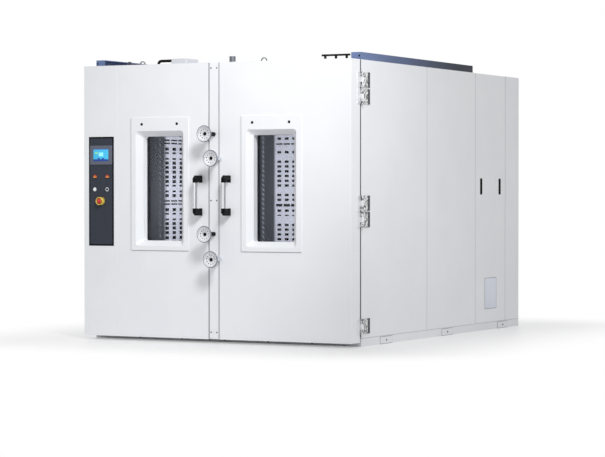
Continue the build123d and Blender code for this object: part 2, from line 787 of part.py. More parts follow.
# Left leaf: the column that carries the fascia, and the wide leaf with its window hole
with BuildPart() as left_column:
    front_slab((-half_width, column_edge), (leaf_bottom, height), (leaf_front_y, leaf_back_y))
    front_face = left_column.faces().sort_by(Axis.Y)[0]
    front_verticals = front_face.edges().filter_by(Axis.Z).sort_by(Axis.X)
    fillet(front_verticals[0], leaf_edge_radius)
    front_face = left_column.faces().sort_by(Axis.Y)[0]
    chamfer(front_face.edges().filter_by(Axis.Z).sort_by(Axis.X)[-1], seam_bevel)
    for bore_x, bore_z, bore_radius in device_bores:
        front_disc(bore_x, bore_z, bore_radius + stem_clearance,
                   (leaf_front_y, leaf_front_y + stem_length + bore_extra), Mode.SUBTRACT)
left_column.part.label = "left_column"
export_step(left_column.part, "parts/left_column.step")

with BuildPart() as left_leaf:
    front_slab((column_edge, left_meeting_edge), (leaf_bottom, height), (leaf_front_y, leaf_back_y))
    front_face = left_leaf.faces().sort_by(Axis.Y)[0]
    front_verticals = front_face.edges().filter_by(Axis.Z).sort_by(Axis.X)
    chamfer(front_verticals[0], seam_bevel)
    front_face = left_leaf.faces().sort_by(Axis.Y)[0]
    fillet(front_face.edges().filter_by(Axis.Z).sort_by(Axis.X)[-1], leaf_edge_radius)
    with BuildSketch(front_plane(leaf_front_y)):
        with Locations((left_window_x, window_height_centre)):
            Rectangle(window_collar_width, window_collar_height)
    extrude(amount=-leaf_thickness, mode=Mode.SUBTRACT)
left_leaf.part.label = "left_leaf"
export_step(left_leaf.part, "parts/left_leaf.step")

# Right leaf: window hole and the rebate of the centre strip
with BuildPart() as right_leaf:
    front_slab((right_meeting_edge, half_width), (leaf_bottom, height), (leaf_front_y, leaf_back_y))
    front_face = right_leaf.faces().sort_by(Axis.Y)[0]
    front_verticals = front_face.edges().filter_by(Axis.Z).sort_by(Axis.X)
    fillet(front_verticals[-1], leaf_edge_radius)
    front_slab((right_meeting_edge, strip_right_edge + strip_groove), (leaf_bottom, height),
               (leaf_front_y, leaf_front_y + strip_thickness), Mode.SUBTRACT)
    with BuildSketch(front_plane(leaf_front_y)):
        with Locations((right_window_x, window_height_centre)):
            Rectangle(window_collar_width, window_collar_height)
    extrude(amount=-leaf_thickness, mode=Mode.SUBTRACT)
right_leaf.part.label = "right_leaf"
export_step(right_leaf.part, "parts/right_leaf.step")

# Centre strip in its rebate
with BuildPart() as centre_strip:
    front_slab((right_meeting_edge, strip_right_edge), (leaf_bottom + strip_foot, height),
               (leaf_front_y, leaf_front_y + strip_thickness))
    strip_front = centre_strip.faces().sort_by(Axis.Y)[0]
    chamfer(strip_front.edges().filter_by(Axis.Z), seam_bevel)
centre_strip.part.label = "centre_strip"
export_step(centre_strip.part, "parts/centre_strip.step")

# Windows: raised frame with a splayed reveal and a tunnel, panes, and the black ring between them
frame_width = opening_width + 2 * side_border
frame_low = window_height_centre - opening_height / 2 - sill_border
frame_high = window_height_centre + opening_height / 2 + head_border
tunnel_width = opening_width - 2 * splay_inset
tunnel_height = opening_height - 2 * splay_inset
collar_size = (window_collar_width - 2 * glazing_fit, window_collar_height - 2 * glazing_fit)
for side, window_x in (("left", left_window_x), ("right", right_window_x)):
    with BuildPart() as window_frame:
        with BuildSketch(front_plane(leaf_front_y)):
            with Locations((window_x, (frame_low + frame_high) / 2)):
                RectangleRounded(frame_width, frame_high - frame_low, 10)
        extrude(amount=frame_proud)
        chamfer(window_frame.faces().sort_by(Axis.Y)[0].edges(), 2)
        with BuildSketch(front_plane(leaf_front_y)):
            with Locations((window_x, window_height_centre)):
                Rectangle(*collar_size)
        extrude(amount=-glass_depth)
        with BuildSketch(front_plane(leaf_front_y - frame_proud)):
            with Locations((window_x, window_height_centre)):
                RectangleRounded(opening_width, opening_height, 26)
        with BuildSketch(front_plane(leaf_front_y + splay_depth)):
            with Locations((window_x, window_height_centre)):
                RectangleRounded(tunnel_width, tunnel_height, 14)
        loft(mode=Mode.SUBTRACT)
        with BuildSketch(front_plane(leaf_front_y + splay_depth)):
            with Locations((window_x, window_height_centre)):
                RectangleRounded(tunnel_width, tunnel_height, 14)
        extrude(amount=-tunnel_depth, mode=Mode.SUBTRACT)
    window_frame.part.label = f"window_frame_{side}"
    export_step(window_frame.part, f"parts/window_frame_{side}.step")

    pane_starts = (leaf_front_y + glass_depth, leaf_back_y - pane_thickness)
    with BuildPart() as window_panes:
        for pane_y in pane_starts:
            with BuildSketch(front_plane(pane_y)):
                with Locations((window_x, window_height_centre)):
                    Rectangle(*collar_size)
            extrude(amount=-pane_thickness)
    window_panes.part.label = f"window_panes_{side}"
    export_step(window_panes.part, f"parts/window_panes_{side}.step")

    with BuildPart() as glazing_ring:
        with BuildSketch(front_plane(pane_starts[0] + pane_thickness)):
            with Locations((window_x, window_height_centre)):
                Rectangle(*collar_size)
                Rectangle(tunnel_width, tunnel_height, mode=Mode.SUBTRACT)
        extrude(amount=-(pane_starts[1] - pane_starts[0] - pane_thickness))
    glazing_ring.part.label = f"glazing_ring_{side}"
    export_step(glazing_ring.part, f"parts/glazing_ring_{side}.step")

# Door seals: a black ring on the back of each leaf that closes on the portal plate
seal_front = portal_thickness + seal_clearance
seal_low = plinth_height + portal_rim + seal_inset
seal_high = height - portal_rim - seal_inset
outer_seal_edge = half_width - portal_rim - seal_inset
seal_spans = {
    "left": (-outer_seal_edge, left_meeting_edge),
    "right": (right_meeting_edge, outer_seal_edge),
}
for side, (seal_left, seal_right) in seal_spans.items():
    with BuildPart() as door_seal:
        with BuildSketch(front_plane(leaf_back_y)):
            with Locations(((seal_left + seal_right) / 2, (seal_low + seal_high) / 2)):
                seal_size = (seal_right - seal_left, seal_high - seal_low)
                Rectangle(*seal_size)
                Rectangle(seal_size[0] - 2 * seal_width, seal_size[1] - 2 * seal_width, mode=Mode.SUBTRACT)
        extrude(amount=-(seal_space - seal_front))
    door_seal.part.label = f"door_seal_{side}"
    export_step(door_seal.part, f"parts/door_seal_{side}.step")

# Pull handles: a round bar between two angular brackets
bar_y = leaf_front_y - bar_stand_off
handle_low = handle_centre_z - handle_height / 2
handle_high = handle_centre_z + handle_height / 2
for side, handle_x in (("left", left_handle_x), ("right", right_handle_x)):
    with BuildPart() as handle_brackets:
        for turn, end_z in ((1, handle_low), (-1, handle_high)):
            tip_y = bar_y - bar_radius
            with BuildSketch(Plane.YZ.offset(handle_x - bracket_width / 2)):
                with BuildLine():
                    Polyline(
                        (leaf_front_y, end_z),
                        (tip_y + 26, end_z),
                        (tip_y, end_z + turn * 22),
                        (tip_y, end_z + turn * bracket_height),
                        (tip_y + 2 * bar_radius, end_z + turn * bracket_height),
                        (leaf_front_y - 22, end_z + turn * 30),
                        (leaf_front_y, end_z + turn * bracket_height),
                        close=True,
                    )
                make_face()
            extrude(amount=bracket_width)
    handle_brackets.part.label = f"handle_brackets_{side}"
    export_step(handle_brackets.part, f"parts/handle_brackets_{side}.step")
    with BuildPart() as handle_bar:
        upright_disc(handle_x, bar_y, bar_radius, (handle_low + bracket_height, handle_high - bracket_height))
    handle_bar.part.label = f"handle_bar_{side}"
    export_step(handle_bar.part, f"parts/handle_bar_{side}.step")

# Handwheel posts: a straight neck that flares to a bell, bored for the spindle
strip_wheels = ((strip_x, upper_strip_wheel_z), (strip_x, lower_strip_wheel_z))
leaf_wheels = ((strip_x + leaf_wheel_offset, upper_leaf_wheel_z), (strip_x + leaf_wheel_offset, lower_leaf_wheel_z))
for finish, wheels in (("black", strip_wheels), ("bright", leaf_wheels)):
    with BuildPart() as wheel_posts:
        for post_x, post_z in wheels:
            with BuildSketch(Plane.YZ.offset(post_x)):
                with BuildLine():
                    base = (leaf_front_y, post_z)
                    neck_foot = (leaf_front_y, post_z + post_neck_radius)
                    neck_end = (leaf_front_y - post_neck_length, post_z + post_neck_radius)
                    bell_edge = (leaf_front_y - post_length + 6, post_z + post_bell_radius)
                    lip = (leaf_front_y - post_length, post_z + post_bell_radius)
                    mouth = (leaf_front_y - post_length, post_z)
                    Polyline(base, neck_foot, neck_end)
                    flare = (leaf_front_y - post_neck_length - 20, post_z + post_neck_radius + 3)
                    ThreePointArc(neck_end, flare, bell_edge)
                    Polyline(bell_edge, lip, mouth, base)
                make_face()
            revolve(axis=Axis((post_x, 0, post_z), (0, 1, 0)))
            front_disc(post_x, post_z, spindle_radius + spindle_clearance,
                       (leaf_front_y - post_length, leaf_front_y - post_length + spindle_depth + 2),
                       Mode.SUBTRACT)
    wheel_posts.part.label = f"wheel_posts_{finish}"
    export_step(wheel_posts.part, f"parts/wheel_posts_{finish}.step")

# Handwheels: a dished disc with a rolled rim on its spindle, and the centre cap
wheel_y = leaf_front_y - wheel_stand_off
all_wheels = (strip_wheels[0], leaf_wheels[0], strip_wheels[1], leaf_wheels[1])
for number, (wheel_x, wheel_z) in enumerate(all_wheels, start=1):
    with BuildPart() as handwheel:
        with BuildSketch(Plane.YZ.offset(wheel_x)):
            with BuildLine():
                rim_r = wheel_z + wheel_radius - wheel_rim
                hub_r = wheel_z + spindle_radius * 2
                spindle_r = wheel_z + spindle_radius
                back_y = leaf_front_y - post_length + spindle_depth
                hub_back = wheel_y + wheel_dish
                Polyline((back_y, wheel_z), (back_y, spindle_r), (hub_back, spindle_r), (hub_back, hub_r))
                ThreePointArc((hub_back, hub_r), (wheel_y + 7, (hub_r + rim_r) / 2 + 4), (wheel_y + 2, rim_r))
                Line((wheel_y + 2, rim_r), (wheel_y + 2, rim_r + wheel_rim / 2))
                ThreePointArc((wheel_y + 2, rim_r + wheel_rim / 2), (wheel_y - 3, rim_r + wheel_rim),
                              (wheel_y - 8, rim_r + wheel_rim / 2))
                Line((wheel_y - 8, rim_r + wheel_rim / 2), (wheel_y - 8, rim_r))
                ThreePointArc((wheel_y - 8, rim_r), (wheel_y + 2, (hub_r + rim_r) / 2), (wheel_y + 8, hub_r))
                Line((wheel_y + 8, hub_r), (wheel_y + 8, wheel_z))
                Line((wheel_y + 8, wheel_z), (back_y, wheel_z))
            make_face()
        revolve(axis=Axis((wheel_x, 0, wheel_z), (0, 1, 0)))
    handwheel.part.label = f"handwheel_{number}"
    export_step(handwheel.part, f"parts/handwheel_{number}.step")

# Control fascia with through holes for the devices
with BuildPart() as control_fascia:
    front_slab((fascia_x - fascia_width / 2, fascia_x + fascia_width / 2),
               (fascia_z - fascia_height / 2, fascia_z + fascia_height / 2), (fascia_front_y, leaf_front_y))
    chamfer(control_fascia.faces().sort_by(Axis.Y)[0].edges(), 1.5)
    for bore_x, bore_z, bore_radius in device_bores:
        front_disc(bore_x, bore_z, bore_radius + stem_clearance, (fascia_front_y, leaf_front_y), Mode.SUBTRACT)
control_fascia.part.label = "control_fascia"
export_step(control_fascia.part, "parts/control_fascia.step")

# Touch panel: bezel with the screen as the floor of a shallow pocket
with BuildPart() as touch_panel:
    with BuildSketch(front_plane(fascia_front_y)):
        with Locations((fascia_x, touch_z)):
            RectangleRounded(touch_width, touch_height, 6)
    extrude(amount=touch_proud)
    chamfer(touch_panel.faces().sort_by(Axis.Y)[0].edges(), 2)
    front_slab((fascia_x - screen_width / 2, fascia_x + screen_width / 2),
               (touch_z - screen_height / 2, touch_z + screen_height / 2),
               (fascia_front_y - touch_proud, fascia_front_y - touch_proud + screen_inset), Mode.SUBTRACT)
touch_panel.part.label = "touch_panel"
export_step(touch_panel.part, "parts/touch_panel.step")

# Lamps, switch rings, push button and key rotor
with BuildPart() as panel_lamps:
    for lamp_x in (left_switch_x, right_switch_x):
        front_disc(lamp_x, lamp_z, lamp_radius, (fascia_front_y - 9, fascia_front_y))
        front_disc(lamp_x, lamp_z, bezel_radius, (fascia_front_y - 3, fascia_front_y))
panel_lamps.part.label = "panel_lamps"
export_step(panel_lamps.part, "parts/panel_lamps.step")

ring_thickness = 4
with BuildPart() as switch_rings:
    for ring_x, inner_radius in ((left_switch_x, button_radius), (right_switch_x, rotor_radius)):
        front_disc(ring_x, switch_z, bezel_radius, (fascia_front_y - ring_thickness, fascia_front_y))
        front_disc(ring_x, switch_z, inner_radius + stem_clearance,
                   (fascia_front_y - ring_thickness, fascia_front_y), Mode.SUBTRACT)
switch_rings.part.label = "switch_rings"
export_step(switch_rings.part, "parts/switch_rings.step")

with BuildPart() as push_button:
    button_front = fascia_front_y - ring_thickness - button_stroke - 2
    front_disc(left_switch_x, switch_z, button_radius, (button_front, leaf_front_y + stem_length))
push_button.part.label = "push_button"
export_step(push_button.part, "parts/push_button.step")

with BuildPart() as key_rotor:
    front_disc(right_switch_x, switch_z, rotor_radius,
               (fascia_front_y - ring_thickness - 2, leaf_front_y + stem_length))
    front_slab((right_switch_x - 2, right_switch_x + 2), (switch_z - rotor_radius + 1, switch_z + rotor_radius - 1),
               (fascia_front_y - ring_thickness - 12, fascia_front_y - ring_thickness - 2))
key_rotor.part.label = "key_rotor"
export_step(key_rotor.part, "parts/key_rotor.step")

# Emergency stop: round plate with a collar, and the mushroom head on its stem
collar_front = fascia_front_y - stop_plate_thickness - stop_collar_height
with BuildPart() as stop_collar:
    front_disc(fascia_x, stop_z, stop_plate_radius, (fascia_front_y - stop_plate_thickness, fascia_front_y))
    front_disc(fascia_x, stop_z, stop_collar_radius, (collar_front, fascia_front_y))
    front_disc(fascia_x, stop_z, stop_stem_radius + stem_clearance, (collar_front, fascia_front_y), Mode.SUBTRACT)
stop_collar.part.label = "stop_collar"
export_step(stop_collar.part, "parts/stop_collar.step")

head_back = collar_front - stop_stroke - 0.5
with BuildPart() as stop_head:
    with BuildSketch(Plane.YZ.offset(fascia_x)):
        with BuildLine():
            head_front = head_back - stop_head_height
            cap_out, cap_drop = cap_middle(stop_head_radius, stop_dome_rise)
            stem_end = leaf_front_y + stem_length
            Polyline((stem_end, stop_z), (stem_end, stop_z + stop_stem_radius),
                     (head_back, stop_z + stop_stem_radius), (head_back, stop_z + stop_head_radius - 4),
                     (head_front + stop_dome_rise, stop_z + stop_head_radius))
            ThreePointArc((head_front + stop_dome_rise, stop_z + stop_head_radius),
                          (head_front + cap_drop, stop_z + cap_out), (head_front, stop_z))
            Line((head_front, stop_z), (stem_end, stop_z))
        make_face()
    revolve(axis=Axis((fascia_x, 0, stop_z), (0, 1, 0)))
stop_head.part.label = "stop_head"
export_step(stop_head.part, "parts/stop_head.step")
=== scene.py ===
"""Walk-in environmental test chamber: finishes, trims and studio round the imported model."""

import math

import bpy
import numpy as np
from bpy.props import FloatProperty, IntProperty, PointerProperty, StringProperty
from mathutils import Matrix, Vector


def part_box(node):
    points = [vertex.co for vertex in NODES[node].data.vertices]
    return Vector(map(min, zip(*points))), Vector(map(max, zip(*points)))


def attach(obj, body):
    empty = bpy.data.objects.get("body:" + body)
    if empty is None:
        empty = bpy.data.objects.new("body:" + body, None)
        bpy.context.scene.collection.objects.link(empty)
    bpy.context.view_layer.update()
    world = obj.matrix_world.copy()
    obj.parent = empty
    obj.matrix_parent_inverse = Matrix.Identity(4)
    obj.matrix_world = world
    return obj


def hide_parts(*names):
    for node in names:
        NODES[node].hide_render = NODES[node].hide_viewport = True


bl_info = {
    "name": "Walk-in test chamber",
    "version": (1, 0, 0),
    "blender": (4, 5, 0),
    "location": "3D View > Sidebar > Chamber",
    "description": "Dresses the packed chamber with its finishes, trims and studio",
    "category": "Object",
}

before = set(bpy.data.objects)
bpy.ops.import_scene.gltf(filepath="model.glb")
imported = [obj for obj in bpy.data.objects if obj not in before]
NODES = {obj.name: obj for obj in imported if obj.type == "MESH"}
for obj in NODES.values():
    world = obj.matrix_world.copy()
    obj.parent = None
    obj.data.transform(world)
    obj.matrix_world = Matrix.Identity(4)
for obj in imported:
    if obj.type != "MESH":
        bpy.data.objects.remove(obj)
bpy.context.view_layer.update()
MM = 0.001
FAR = 10.0  # metres, past every part of the object
SIDES = (("left", -1), ("right", 1))


def corner(node):
    """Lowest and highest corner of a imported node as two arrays, in metres."""
    low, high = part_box(node)
    return np.array(low), np.array(high)


def middle_of(node):
    """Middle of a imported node's box."""
    return sum(corner(node)) / 2


STRIP_LOW, STRIP_HIGH = corner("centre_strip")
BEAM_LOW, BEAM_HIGH = corner("roof_beams")
LEAF_FACE = corner("left_leaf")[0][1]


# Colour and node helpers

NOISE_LOW, NOISE_HIGH = 0.3, 0.7  # a noise pattern's middle range
SHADER = "Principled BSDF"


def linear(hex_colour):
    """Linear RGBA of an sRGB colour written as six hex digits."""
    parts = [int(hex_colour[i : i + 2], 16) / 255 for i in (0, 2, 4)]
    return [c / 12.92 if c <= 0.04045 else ((c + 0.055) / 1.055) ** 2.4 for c in parts] + [1.0]


def add_node(tree, kind, sockets=(), output=0, **settings):
    """Adds one node with its settings. sockets gives its inputs, in order or by name: a value, or
    the output that feeds it. Returns one of its outputs, or the node where output is None."""
    node = tree.nodes.new("ShaderNode" + kind)
    for key, value in settings.items():
        setattr(node, key, value)
    for key, value in sockets.items() if isinstance(sockets, dict) else enumerate(sockets):
        if isinstance(value, bpy.types.NodeSocket):
            tree.links.new(value, node.inputs[key])
        else:
            node.inputs[key].default_value = value
    return node if output is None else node.outputs[output]


def chain(tree, value, *steps, kind="Math"):
    """Passes a value through a row of nodes, one for each step's operation and its operands."""
    for operation, *operands in steps:
        value = add_node(tree, kind, (value, *operands), operation=operation)
    return value


def start_material(name, hex_colour, metallic, roughness, **sockets):
    """A material with its shader and output, and its node tree; sockets are further constant
    shader values."""
    material = bpy.data.materials.new(name)
    material.use_nodes = True
    tree = material.node_tree
    tree.nodes.clear()
    values = {"Base Color": linear(hex_colour), "Metallic": metallic, "Roughness": roughness}
    shader = add_node(tree, "BsdfPrincipled", {**values, **sockets}, "BSDF")
    add_node(tree, "OutputMaterial", {"Surface": shader}, None)
    return material, tree


def grain(tree, size_mm, detail=3.0, stretch=(1, 1, 1)):
    """Noise on Object coordinates, its grain about size_mm across and longer by small factors."""
    source = add_node(tree, "TexCoord", output="Object")
    vector = add_node(tree, "Mapping", {"Vector": source, "Scale": stretch})
    sockets = {"Vector": vector, "Scale": 1 / (size_mm * MM), "Detail": detail}
    return add_node(tree, "TexNoise", sockets, "Fac")


def object_axes(tree):
    """The X, Y and Z outputs of the Object coordinates, in metres."""
    source = add_node(tree, "TexCoord", output="Object")
    return add_node(tree, "SeparateXYZ", (source,), None).outputs


def within(tree, **ranges):
    """1 where each named Object coordinate lies between its low and high, else 0."""
    axes = object_axes(tree)
    mask = 1.0
    for letter, (low, high) in ranges.items():
        band = ("COMPARE", float(low + high) / 2, float(high - low) / 2)
        mask = chain(tree, axes[letter], band, ("MULTIPLY", mask))
    return mask


def toned(tree, pattern, hex_low, hex_high, start=NOISE_LOW, end=NOISE_HIGH):
    """A colour that goes from one hex tone to the other as the pattern goes from start to end."""
    share = add_node(tree, "MapRange", {"Value": pattern, "From Min": start, "From Max": end})
    tones = {0: share, 6: linear(hex_low), 7: linear(hex_high)}
    return add_node(tree, "Mix", tones, 2, data_type="RGBA")


def vary(material, pattern, tones=None, roughness=None, depth_mm=None):
    """Lets a pattern's middle range run the colour between two hex tones and the roughness
    between two values, and raises the surface by a real depth. Returns the material."""
    tree = material.node_tree
    sockets = tree.nodes[SHADER].inputs
    if tones:
        tree.links.new(toned(tree, pattern, *tones), sockets["Base Color"])
    if roughness:
        amount = add_node(tree, "MapRange", {
            "Value": pattern, "From Min": NOISE_LOW, "From Max": NOISE_HIGH,
            "To Min": roughness[0], "To Max": roughness[1]})
        tree.links.new(amount, sockets["Roughness"])
    if depth_mm:
        bump = {"Distance": depth_mm * MM, "Strength": 0.6, "Height": pattern}
        tree.links.new(add_node(tree, "Bump", bump), sockets["Normal"])
    return material


def paint(material, colour, layers=(), glow=0.0):
    """Lays (hex tone, mask) layers over a colour and makes it the material's, also as its glow.
    Returns the material."""
    tree = material.node_tree
    sockets = tree.nodes[SHADER].inputs
    for tone, mask in layers:
        colour = add_node(tree, "Mix", {0: mask, 6: colour, 7: linear(tone)}, 2, data_type="RGBA")
    tree.links.new(colour, sockets["Base Color"])
    if glow:
        tree.links.new(colour, sockets["Emission Color"])
        sockets["Emission Strength"].default_value = glow
    return material


# Materials, each named for the real one

COAT = {"Coat Weight": 0.12}
CLOUDS = (420, 2.0)  # grain in mm and detail of a powder coat's barely visible clouds
SHELL_ROUGHNESS = 0.42
WALL_SEAM_Y = -0.357  # joint between the test space's walls and the machine section
BRUSHED_TONES = ("B9BCC2", "D6D8DC")
# Brush lines are about 0.1 mm apart; drawn down to 4 mm apart and long, so that they show.
BRUSHED_GRAIN = (60, 4.0, (1, 1, 0.05))
NOTCH_HALF, NOTCH_SLANT, NOTCH_SHARE = 11 * MM, 0.8, 0.4
DARK_MARK_COUNT = 11


def coated_steel(name, hex_pale, hex_deep, roughness):
    """Powder-coated steel sheet: satin, with soft orange peel and barely uneven tone."""
    material, tree = start_material(name, hex_pale, 0.0, roughness, **COAT)
    vary(material, grain(tree, *CLOUDS), tones=(hex_deep, hex_pale))
    # Real orange peel is about 2 mm; drawn at 14 mm so that it shows at all.
    peel_roughness = (roughness - 0.04, roughness + 0.06)
    return vary(material, grain(tree, 14), roughness=peel_roughness, depth_mm=0.05)


def panel_seams():
    """Ranges of the sealant lines between the side panels and along the plinth."""
    low, high = corner("access_panel_right")
    lines = [("Y", place, 4 * MM) for place in (WALL_SEAM_Y, low[1], high[1])]
    lines.append(("Z", low[2], 5 * MM))
    return [{letter: (place - half, place + half)} for letter, place, half in lines]


def frame_shade_bands():
    """Ranges of the painted shade along the left and lower edges of the window frames."""
    shade_bands = []
    for side, _ in SIDES:
        low, high = corner(f"window_frame_{side}")
        front = (-FAR, low[1] + 6 * MM)
        for x_end, z_end in ((low[0] + 5 * MM, high[2] + MM), (high[0] + MM, low[2] + 5 * MM)):
            shade_bands.append({"X": (low[0] - MM, x_end), "Z": (low[2] - MM, z_end), "Y": front})
    return shade_bands


def lined_coat(name, hex_pale, hex_cloud, hex_line, lines):
    """Powder coat of the shell, deeper in tone along lines given as ranges of coordinates."""
    material, tree = start_material(name, hex_pale, 0.0, SHELL_ROUGHNESS, **COAT)
    layers = [(hex_line, within(tree, **line)) for line in lines]
    return paint(material, toned(tree, grain(tree, *CLOUDS), hex_pale, hex_cloud), layers)


def beam_enamel(name):
    """Blue-grey enamel of the roof beams, with painted shade that deepens towards the back of the
    body.
    """
    material, tree = start_material(name, "56637F", 0.0, 0.45, **{"Specular IOR Level": 0.2})
    # The tone darkens towards the back as painted shade.
    near, far = BEAM_LOW[1], BEAM_HIGH[1] - 0.3
    sockets = {"Value": object_axes(tree)["Y"], "From Min": near, "From Max": far}
    depth = add_node(tree, "MapRange", sockets)
    cloud = add_node(tree, "MapRange", {
        "Value": grain(tree, 300, 2.0), "From Min": NOISE_LOW, "From Max": NOISE_HIGH,
        "To Min": -0.04, "To Max": 0.04})
    amount = chain(tree, depth, ("ADD", cloud))
    return paint(material, toned(tree, amount, "6A7CA6", "1C2436", 0.0, 1.0))


def slate_coated_steel(name):
    """Fine-textured slate powder coat with a black folded rim all round the fascia."""
    material, tree = start_material(name, "3A3D46", 0.0, 0.6, **{"Specular IOR Level": 0.1})
    texture = grain(tree, 6, 4.0)
    rim = 12 * MM
    low, high = corner("control_fascia")
    core = within(tree, X=(low[0] + rim, high[0] - rim), Z=(low[2] + rim, high[2] - rim))
    sockets = {0: core, 6: linear("0C0C12"), 7: toned(tree, texture, "393D46", "41454F")}
    paint(material, add_node(tree, "Mix", sockets, 2, data_type="RGBA"))
    return vary(material, texture, depth_mm=0.12)


def brushed_stainless(name):
    """Rolled and brushed stainless sheet: long fine upright scratches."""
    material, tree = start_material(name, "C9CBCF", 0.75, 0.38)
    return vary(material, grain(tree, *BRUSHED_GRAIN), BRUSHED_TONES, (0.30, 0.48))


def panel_sheet(name, letter, painted_shade_until, bright_from, notch_at, notch_pitch, notch_strength):
    """Bead-blasted stainless air panel, soft and pale, with painted shade over its near end, in
    dark tones that fade to pale, and a column of small slanting pale shelf notches up the shaded
    section."""
    material, tree = start_material(name, "D4D7E4", 0.2, 0.5)
    axes, blast = object_axes(tree), grain(tree, 12)
    sockets = {"Value": axes[letter], "From Min": painted_shade_until, "From Max": bright_from}
    fade = add_node(tree, "MapRange", sockets)
    # The dark tones are painted shade, where the test space's near end lies in shadow.
    painted_shade, pale = toned(tree, blast, "3A3D44", "43464E"), toned(tree, blast, "CDD0E0", "DCDFEA")
    sheet = add_node(tree, "Mix", {0: fade, 6: painted_shade, 7: pale}, 2, data_type="RGBA")
    column = within(tree, **{letter: (notch_at - NOTCH_HALF, notch_at + NOTCH_HALF)})
    notches = chain(
        tree, axes[letter], ("SUBTRACT", notch_at), ("MULTIPLY_ADD", NOTCH_SLANT, axes["Z"]),
        ("DIVIDE", notch_pitch), ("FRACT",), ("LESS_THAN", NOTCH_SHARE), ("MULTIPLY", column),
        ("MULTIPLY", notch_strength))
    return paint(material, sheet, [("A9ACB8", notches)])


def plenum_lined_steel(name):
    """Brushed stainless lining, with black painted shade where it lies behind the air panels."""
    material, tree = start_material(name, "C9CBCF", 0.6, 0.4)
    # Black painted shade over the lining in the unlit plenums behind the air panels.
    plenum_shade = (
        within(tree, X=(-FAR, corner("duct_left")[0][0] - MM)),
        within(tree, Y=(corner("duct_rear")[0][1], FAR)),
    )
    bright = toned(tree, grain(tree, *BRUSHED_GRAIN), *BRUSHED_TONES)
    return paint(material, bright, [("0B0C12", mask) for mask in plenum_shade])


def chrome_plate(name):
    """Bright chrome plating, with a faint haze of handling."""
    material, tree = start_material(name, "D9DBE0", 1.0, 0.08)
    return vary(material, grain(tree, 35), ("CDD0D6", "E6E8EC"), (0.048, 0.176))


def handwheel_chrome(name, centre):
    """Polished handwheel: bright dished face, a ring of dark marks, and painted grey reflections in
    rings at its hub and rolled rim.
    """
    material, tree = start_material(name, "F0F1F5", 0.35, 0.22)
    source = add_node(tree, "TexCoord", output="Object")
    place = {"Location": (-float(centre[0]), 0, -float(centre[2])), "Scale": (1, 0, 1)}
    offset = add_node(tree, "Mapping", {"Vector": source, **place})
    radius = add_node(tree, "VectorMath", (offset,), "Value", operation="LENGTH")
    axes = add_node(tree, "SeparateXYZ", (offset,), None).outputs
    marks = chain(
        tree, axes["Z"], ("ARCTAN2", axes["X"]), ("MULTIPLY", DARK_MARK_COUNT), ("SINE",),
        ("GREATER_THAN", 0.1))
    layers = []
    # The grey rings at the hub and the rim are painted reflections of the chrome's curves.
    # Tone of each ring, its inner and outer radius in mm, and where round the wheel it shows.
    for tone, start, end, share in (
        ("5C5E68", 31, 39, marks), ("9A9CA8", 47.5, 50, 1.0),
        ("7C7E8A", 55.5, 63, 1.0), ("8C8E98", 19, 21.5, 1.0),
    ):
        band = ("COMPARE", (start + end) / 2 * MM, (end - start) / 2 * MM)
        layers.append((tone, chain(tree, radius, band, ("MULTIPLY", share))))
    return paint(material, toned(tree, grain(tree, 20), "E4E5EA", "FAFAFC"), layers)


def bar_chrome(name, centre_x):
    """Polished grip bar: pale tube with painted dark reflections in lines along it, one beside its
    middle and two at its edges.
    """
    material, tree = start_material(name, "F2F3F6", 0.3, 0.2)
    # Each line is a painted dark reflection.
    # Tone of each line and where it starts and ends, in mm from the bar's middle.
    lines = (("50525E", 7.8, 11.6), ("6A6C7A", -14.5, -8.5), ("6A6C7A", 13.2, 14.5))
    layers = [(tone, within(tree, X=(centre_x + start * MM, centre_x + end * MM)))
              for tone, start, end in lines]
    return paint(material, toned(tree, grain(tree, 20), "E8E9EE", "FAFAFC"), layers)


def hinge_steel(name, hex_mirrored, dark_reflection_from):
    """Nickel-plated hinge plate, with a painted mottled reflection of the room and a painted dark
    reflection on its end.
    """
    material, tree = start_material(name, "D9DBDF", 0.5, 0.3)
    mottle = grain(tree, 8, 2.0, (1, 1, 0.5))
    pale = toned(tree, mottle, hex_mirrored, "F2F3F5", 0.42, 0.55)
    # The plate's end carries a painted dark reflection.
    return paint(material, pale, [("3A3E43", within(tree, Y=(dark_reflection_from, FAR)))])


def zinc_plated_steel(name):
    """Zinc-plated screw steel: grey, slightly blotchy crystals."""
    material, tree = start_material(name, "6F7278", 0.9, 0.4)
    return vary(material, grain(tree, 5), ("565A60", "8A8E94"), (0.3, 0.5))


def moulded_plastic(name, hex_dark, hex_pale, roughness, specular=0.5):
    """Injection-moulded ABS or nylon: even colour with a fine moulded grain."""
    sockets = {"IOR": 1.53, "Specular IOR Level": specular}
    material, tree = start_material(name, hex_dark, 0.0, roughness, **sockets)
    span = (roughness - 0.05, roughness + 0.08)
    return vary(material, grain(tree, 3), (hex_dark, hex_pale), span, depth_mm=0.05)


def seal_rubber(name):
    """Black EPDM door seal: dull, faintly dusty."""
    material, tree = start_material(name, "0D0E10", 0.0, 0.7, IOR=1.5)
    return vary(material, grain(tree, 40, 5.0), ("08090B", "17181B"), (0.6, 0.85))


def tinted_glass(name):
    """Float glass with a light grey tint, clear enough to see the test space."""
    material, tree = start_material(name, "0B0F14", 0.0, 0.02, Alpha=0.16, IOR=1.52)
    return vary(material, grain(tree, 160, 2.0), roughness=(0.015, 0.05))


def gloss_plastic(name, hex_dark, hex_pale):
    """Glossy polycarbonate or acrylic of a control, a little deeper in tone in places."""
    material, tree = start_material(name, hex_pale, 0.0, 0.22, IOR=1.58)
    return vary(material, grain(tree, 9, 2.0), (hex_dark, hex_pale), (0.16, 0.3))


